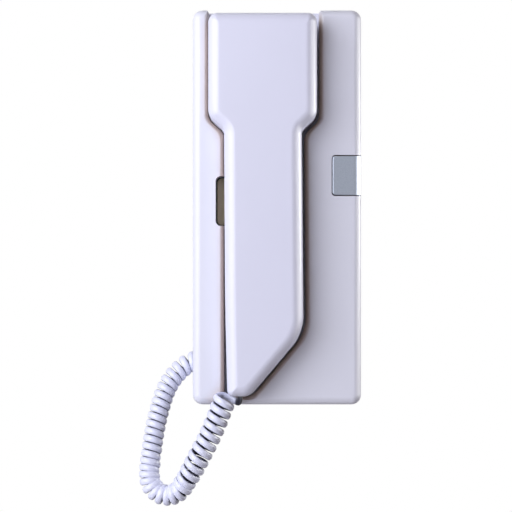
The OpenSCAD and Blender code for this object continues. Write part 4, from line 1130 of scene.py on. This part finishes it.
class INTERCOM_OT_handset_rear(IntercomOperator, bpy.types.Operator):
    """Rear shell of the handset, with finger arch, ear dish, sound holes and screw wells"""
    bl_idname = "intercom.handset_rear"
    bl_label = "Handset rear"

    def execute(self, context):
        hand = context.scene.intercom_handset
        corners = handset_corners(hand, hand.taper)
        seam = [(inset(corners, hand.seam), REAR_LOW.y), (corners, REAR_LOW.y + hand.seam)]
        back = rounded(corners, REAR_HIGH.y, 1, hand.rear_radius, REAR_STEPS)
        item = new_object("handset_rear", loft(seam + back, HANDSET_STEPS))
        cut(item, self.inside(hand, corners))
        cut(item, self.arch(hand, 0))
        cut(item, self.dish(hand))
        self.holes(item)
        white = context.scene.intercom_colours.handset
        material = moulded("moulded_abs_handset_rear", white, 0.34, 1.2, 0.02, 0.012)
        finish_piece(item, "handset_rear", material, "handset", "handset_plastic", "handset_rear_shell")
        return {"FINISHED"}

    def arch(self, hand, grow):
        """Round cut across the back of the grip"""
        radius = ((hand.arch_length / 2) ** 2 + hand.arch_depth ** 2) / (2 * hand.arch_depth)
        y = REAR_HIGH.y - hand.arch_depth + radius
        return rods("X", [(y, hand.arch_height)], REAR_LOW.x - PAST, REAR_HIGH.x + PAST, radius + grow, 360)

    def inside(self, hand, corners):
        """The hollow of the shell, less the arch, the ear pad and the screw bosses"""
        hollow = prism(inset(corners, hand.wall), REAR_HIGH.y - hand.wall, REAR_LOW.y - PAST)
        room = new_object("room", hollow)
        cut(room, self.arch(hand, hand.wall))
        pad_y = REAR_HIGH.y - hand.dish_depth - hand.wall
        cut(room, rods("Y", [(EAR_X, EAR_Z)], REAR_HIGH.y, pad_y, PAD_RADIUS, 64))
        cut(room, rods("Y", SHELL_SCREWS, REAR_HIGH.y, REAR_LOW.y - 2 * PAST, BOSS_RADIUS))
        return take_solid(room)

    def dish(self, hand):
        """Ball that cuts the shallow round dish over the earpiece"""
        radius = (hand.dish_radius ** 2 + hand.dish_depth ** 2) / (2 * hand.dish_depth)
        place = Matrix.Translation((EAR_X, REAR_HIGH.y + radius - hand.dish_depth, EAR_Z))
        ball = bmesh.new()
        bmesh.ops.create_uvsphere(ball, u_segments=64, v_segments=180, radius=radius,
                                  matrix=place @ Matrix.Rotation(math.pi / 2, 4, "X"))
        return ball

    def holes(self, item):
        """Sound holes on rings, the slot for the nub and the screw wells"""
        outside = REAR_HIGH.y + PAST
        bottom = REAR_HIGH.y - HOLE_DEPTH
        for x, z, reach, count, radius in SOUND_RINGS:
            turns = [2 * math.pi * (k + 1) / count for k in range(count)]
            spots = [(x + reach * math.cos(a), z + reach * math.sin(a)) for a in turns]
            cut(item, rods("Y", spots, outside, bottom, radius, 20))
        cut(item, block((EAR_X - HANG_HALF, REAR_HIGH.y - HANG_DEPTH, HANG_LOW),
                        (EAR_X + HANG_HALF, outside, HANG_HIGH)))
        cut(item, rods("Y", SHELL_SCREWS, outside, bottom, SCREW_WELL_RADIUS))
        cut(item, rods("Y", SHELL_SCREWS, REAR_HIGH.y, REAR_LOW.y - PAST, SHAFT_RADIUS, 24))


class INTERCOM_OT_fitted_parts(IntercomOperator, bpy.types.Operator):
    """Materials of the parts inside and behind, whose CAD shapes stay as they are"""
    bl_idname = "intercom.fitted_parts"
    bl_label = "Fitted parts"

    def execute(self, context):
        colours = context.scene.intercom_colours
        steel = zinc_plate()
        # Black polystyrene: smooth and half glossy
        black = moulded("moulded_black_polystyrene", colours.black, 0.42, 0.8, 0.02, 0.06)
        # Acetal: slippery, dense white
        acetal = moulded("moulded_acetal", colours.plunger, 0.3, 0.8, 0.01, 0.02, 1.48)
        foam = foam_rubber(colours.foam)
        # Polycarbonate of the plugs: glassy and pale
        plug = moulded("moulded_polycarbonate", colours.plug, 0.16, 1, 0.01, 0.02, 1.585)
        dress = {
            "wall_plate": moulded("moulded_abs_wall_plate", colours.rear, 0.55, 1.4, 0.03, 0.02),
            "housing_screw": steel, "pcb_screws": steel, "terminal_screws": steel, "hook_pin": steel,
            "handset_screws": steel,
            "base_circuit_board": solder_mask(colours.board),
            "terminal_block": moulded("moulded_polyamide_terminal", colours.terminal, 0.5, 0.9, 0.02, 0.05),
            "call_buzzer": black, "door_switch": black, "hook_switch": black, "base_jack": black,
            "handset_jack": black, "earpiece_speaker": black,
            "door_switch_plunger": acetal, "hook_switch_plunger": acetal,
            "base_plug": plug, "handset_plug": plug,
            "earpiece_gasket": foam, "microphone_boot": foam,
            "microphone_capsule": drawn_aluminium(),
        }
        for node, material in dress.items():
            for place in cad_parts[node].material_slots:
                place.material = material
        return {"FINISHED"}


class INTERCOM_PT_panel(bpy.types.Panel):
    """Sidebar panel with the pieces of the intercom"""
    bl_idname = "INTERCOM_PT_panel"
    bl_label = "Intercom"
    bl_space_type = "VIEW_3D"
    bl_region_type = "UI"
    bl_category = "Intercom"

    def draw(self, context):
        for operator in OPERATORS:
            self.layout.operator(operator.bl_idname)


OPERATORS = (INTERCOM_OT_stage, INTERCOM_OT_curly_cord, INTERCOM_OT_base_housing, INTERCOM_OT_door_button,
             INTERCOM_OT_hook_lever, INTERCOM_OT_handset_front, INTERCOM_OT_handset_rear,
             INTERCOM_OT_fitted_parts)
GROUPS = {"intercom_base": IntercomBaseSizes, "intercom_handset": IntercomHandsetSizes,
          "intercom_cord": IntercomCordSizes, "intercom_colours": IntercomColours}


def register():
    """Registers the settings, the operators and the panel"""
    for name, group in GROUPS.items():
        bpy.utils.register_class(group)
        setattr(bpy.types.Scene, name, PointerProperty(type=group))
    for item in (*OPERATORS, INTERCOM_PT_panel):
        bpy.utils.register_class(item)


def unregister():
    """Takes everything out again"""
    for item in reversed((*OPERATORS, INTERCOM_PT_panel)):
        bpy.utils.unregister_class(item)
    for name, group in GROUPS.items():
        delattr(bpy.types.Scene, name)
        bpy.utils.unregister_class(group)


def main():
    """Builds the whole scene"""
    register()
    bpy.ops.intercom.stage()
    bpy.ops.intercom.curly_cord()
    bpy.ops.intercom.base_housing()
    bpy.ops.intercom.door_button()
    bpy.ops.intercom.hook_lever()
    bpy.ops.intercom.handset_front()
    bpy.ops.intercom.handset_rear()
    bpy.ops.intercom.fitted_parts()


if __name__ == "__main__":
    main()
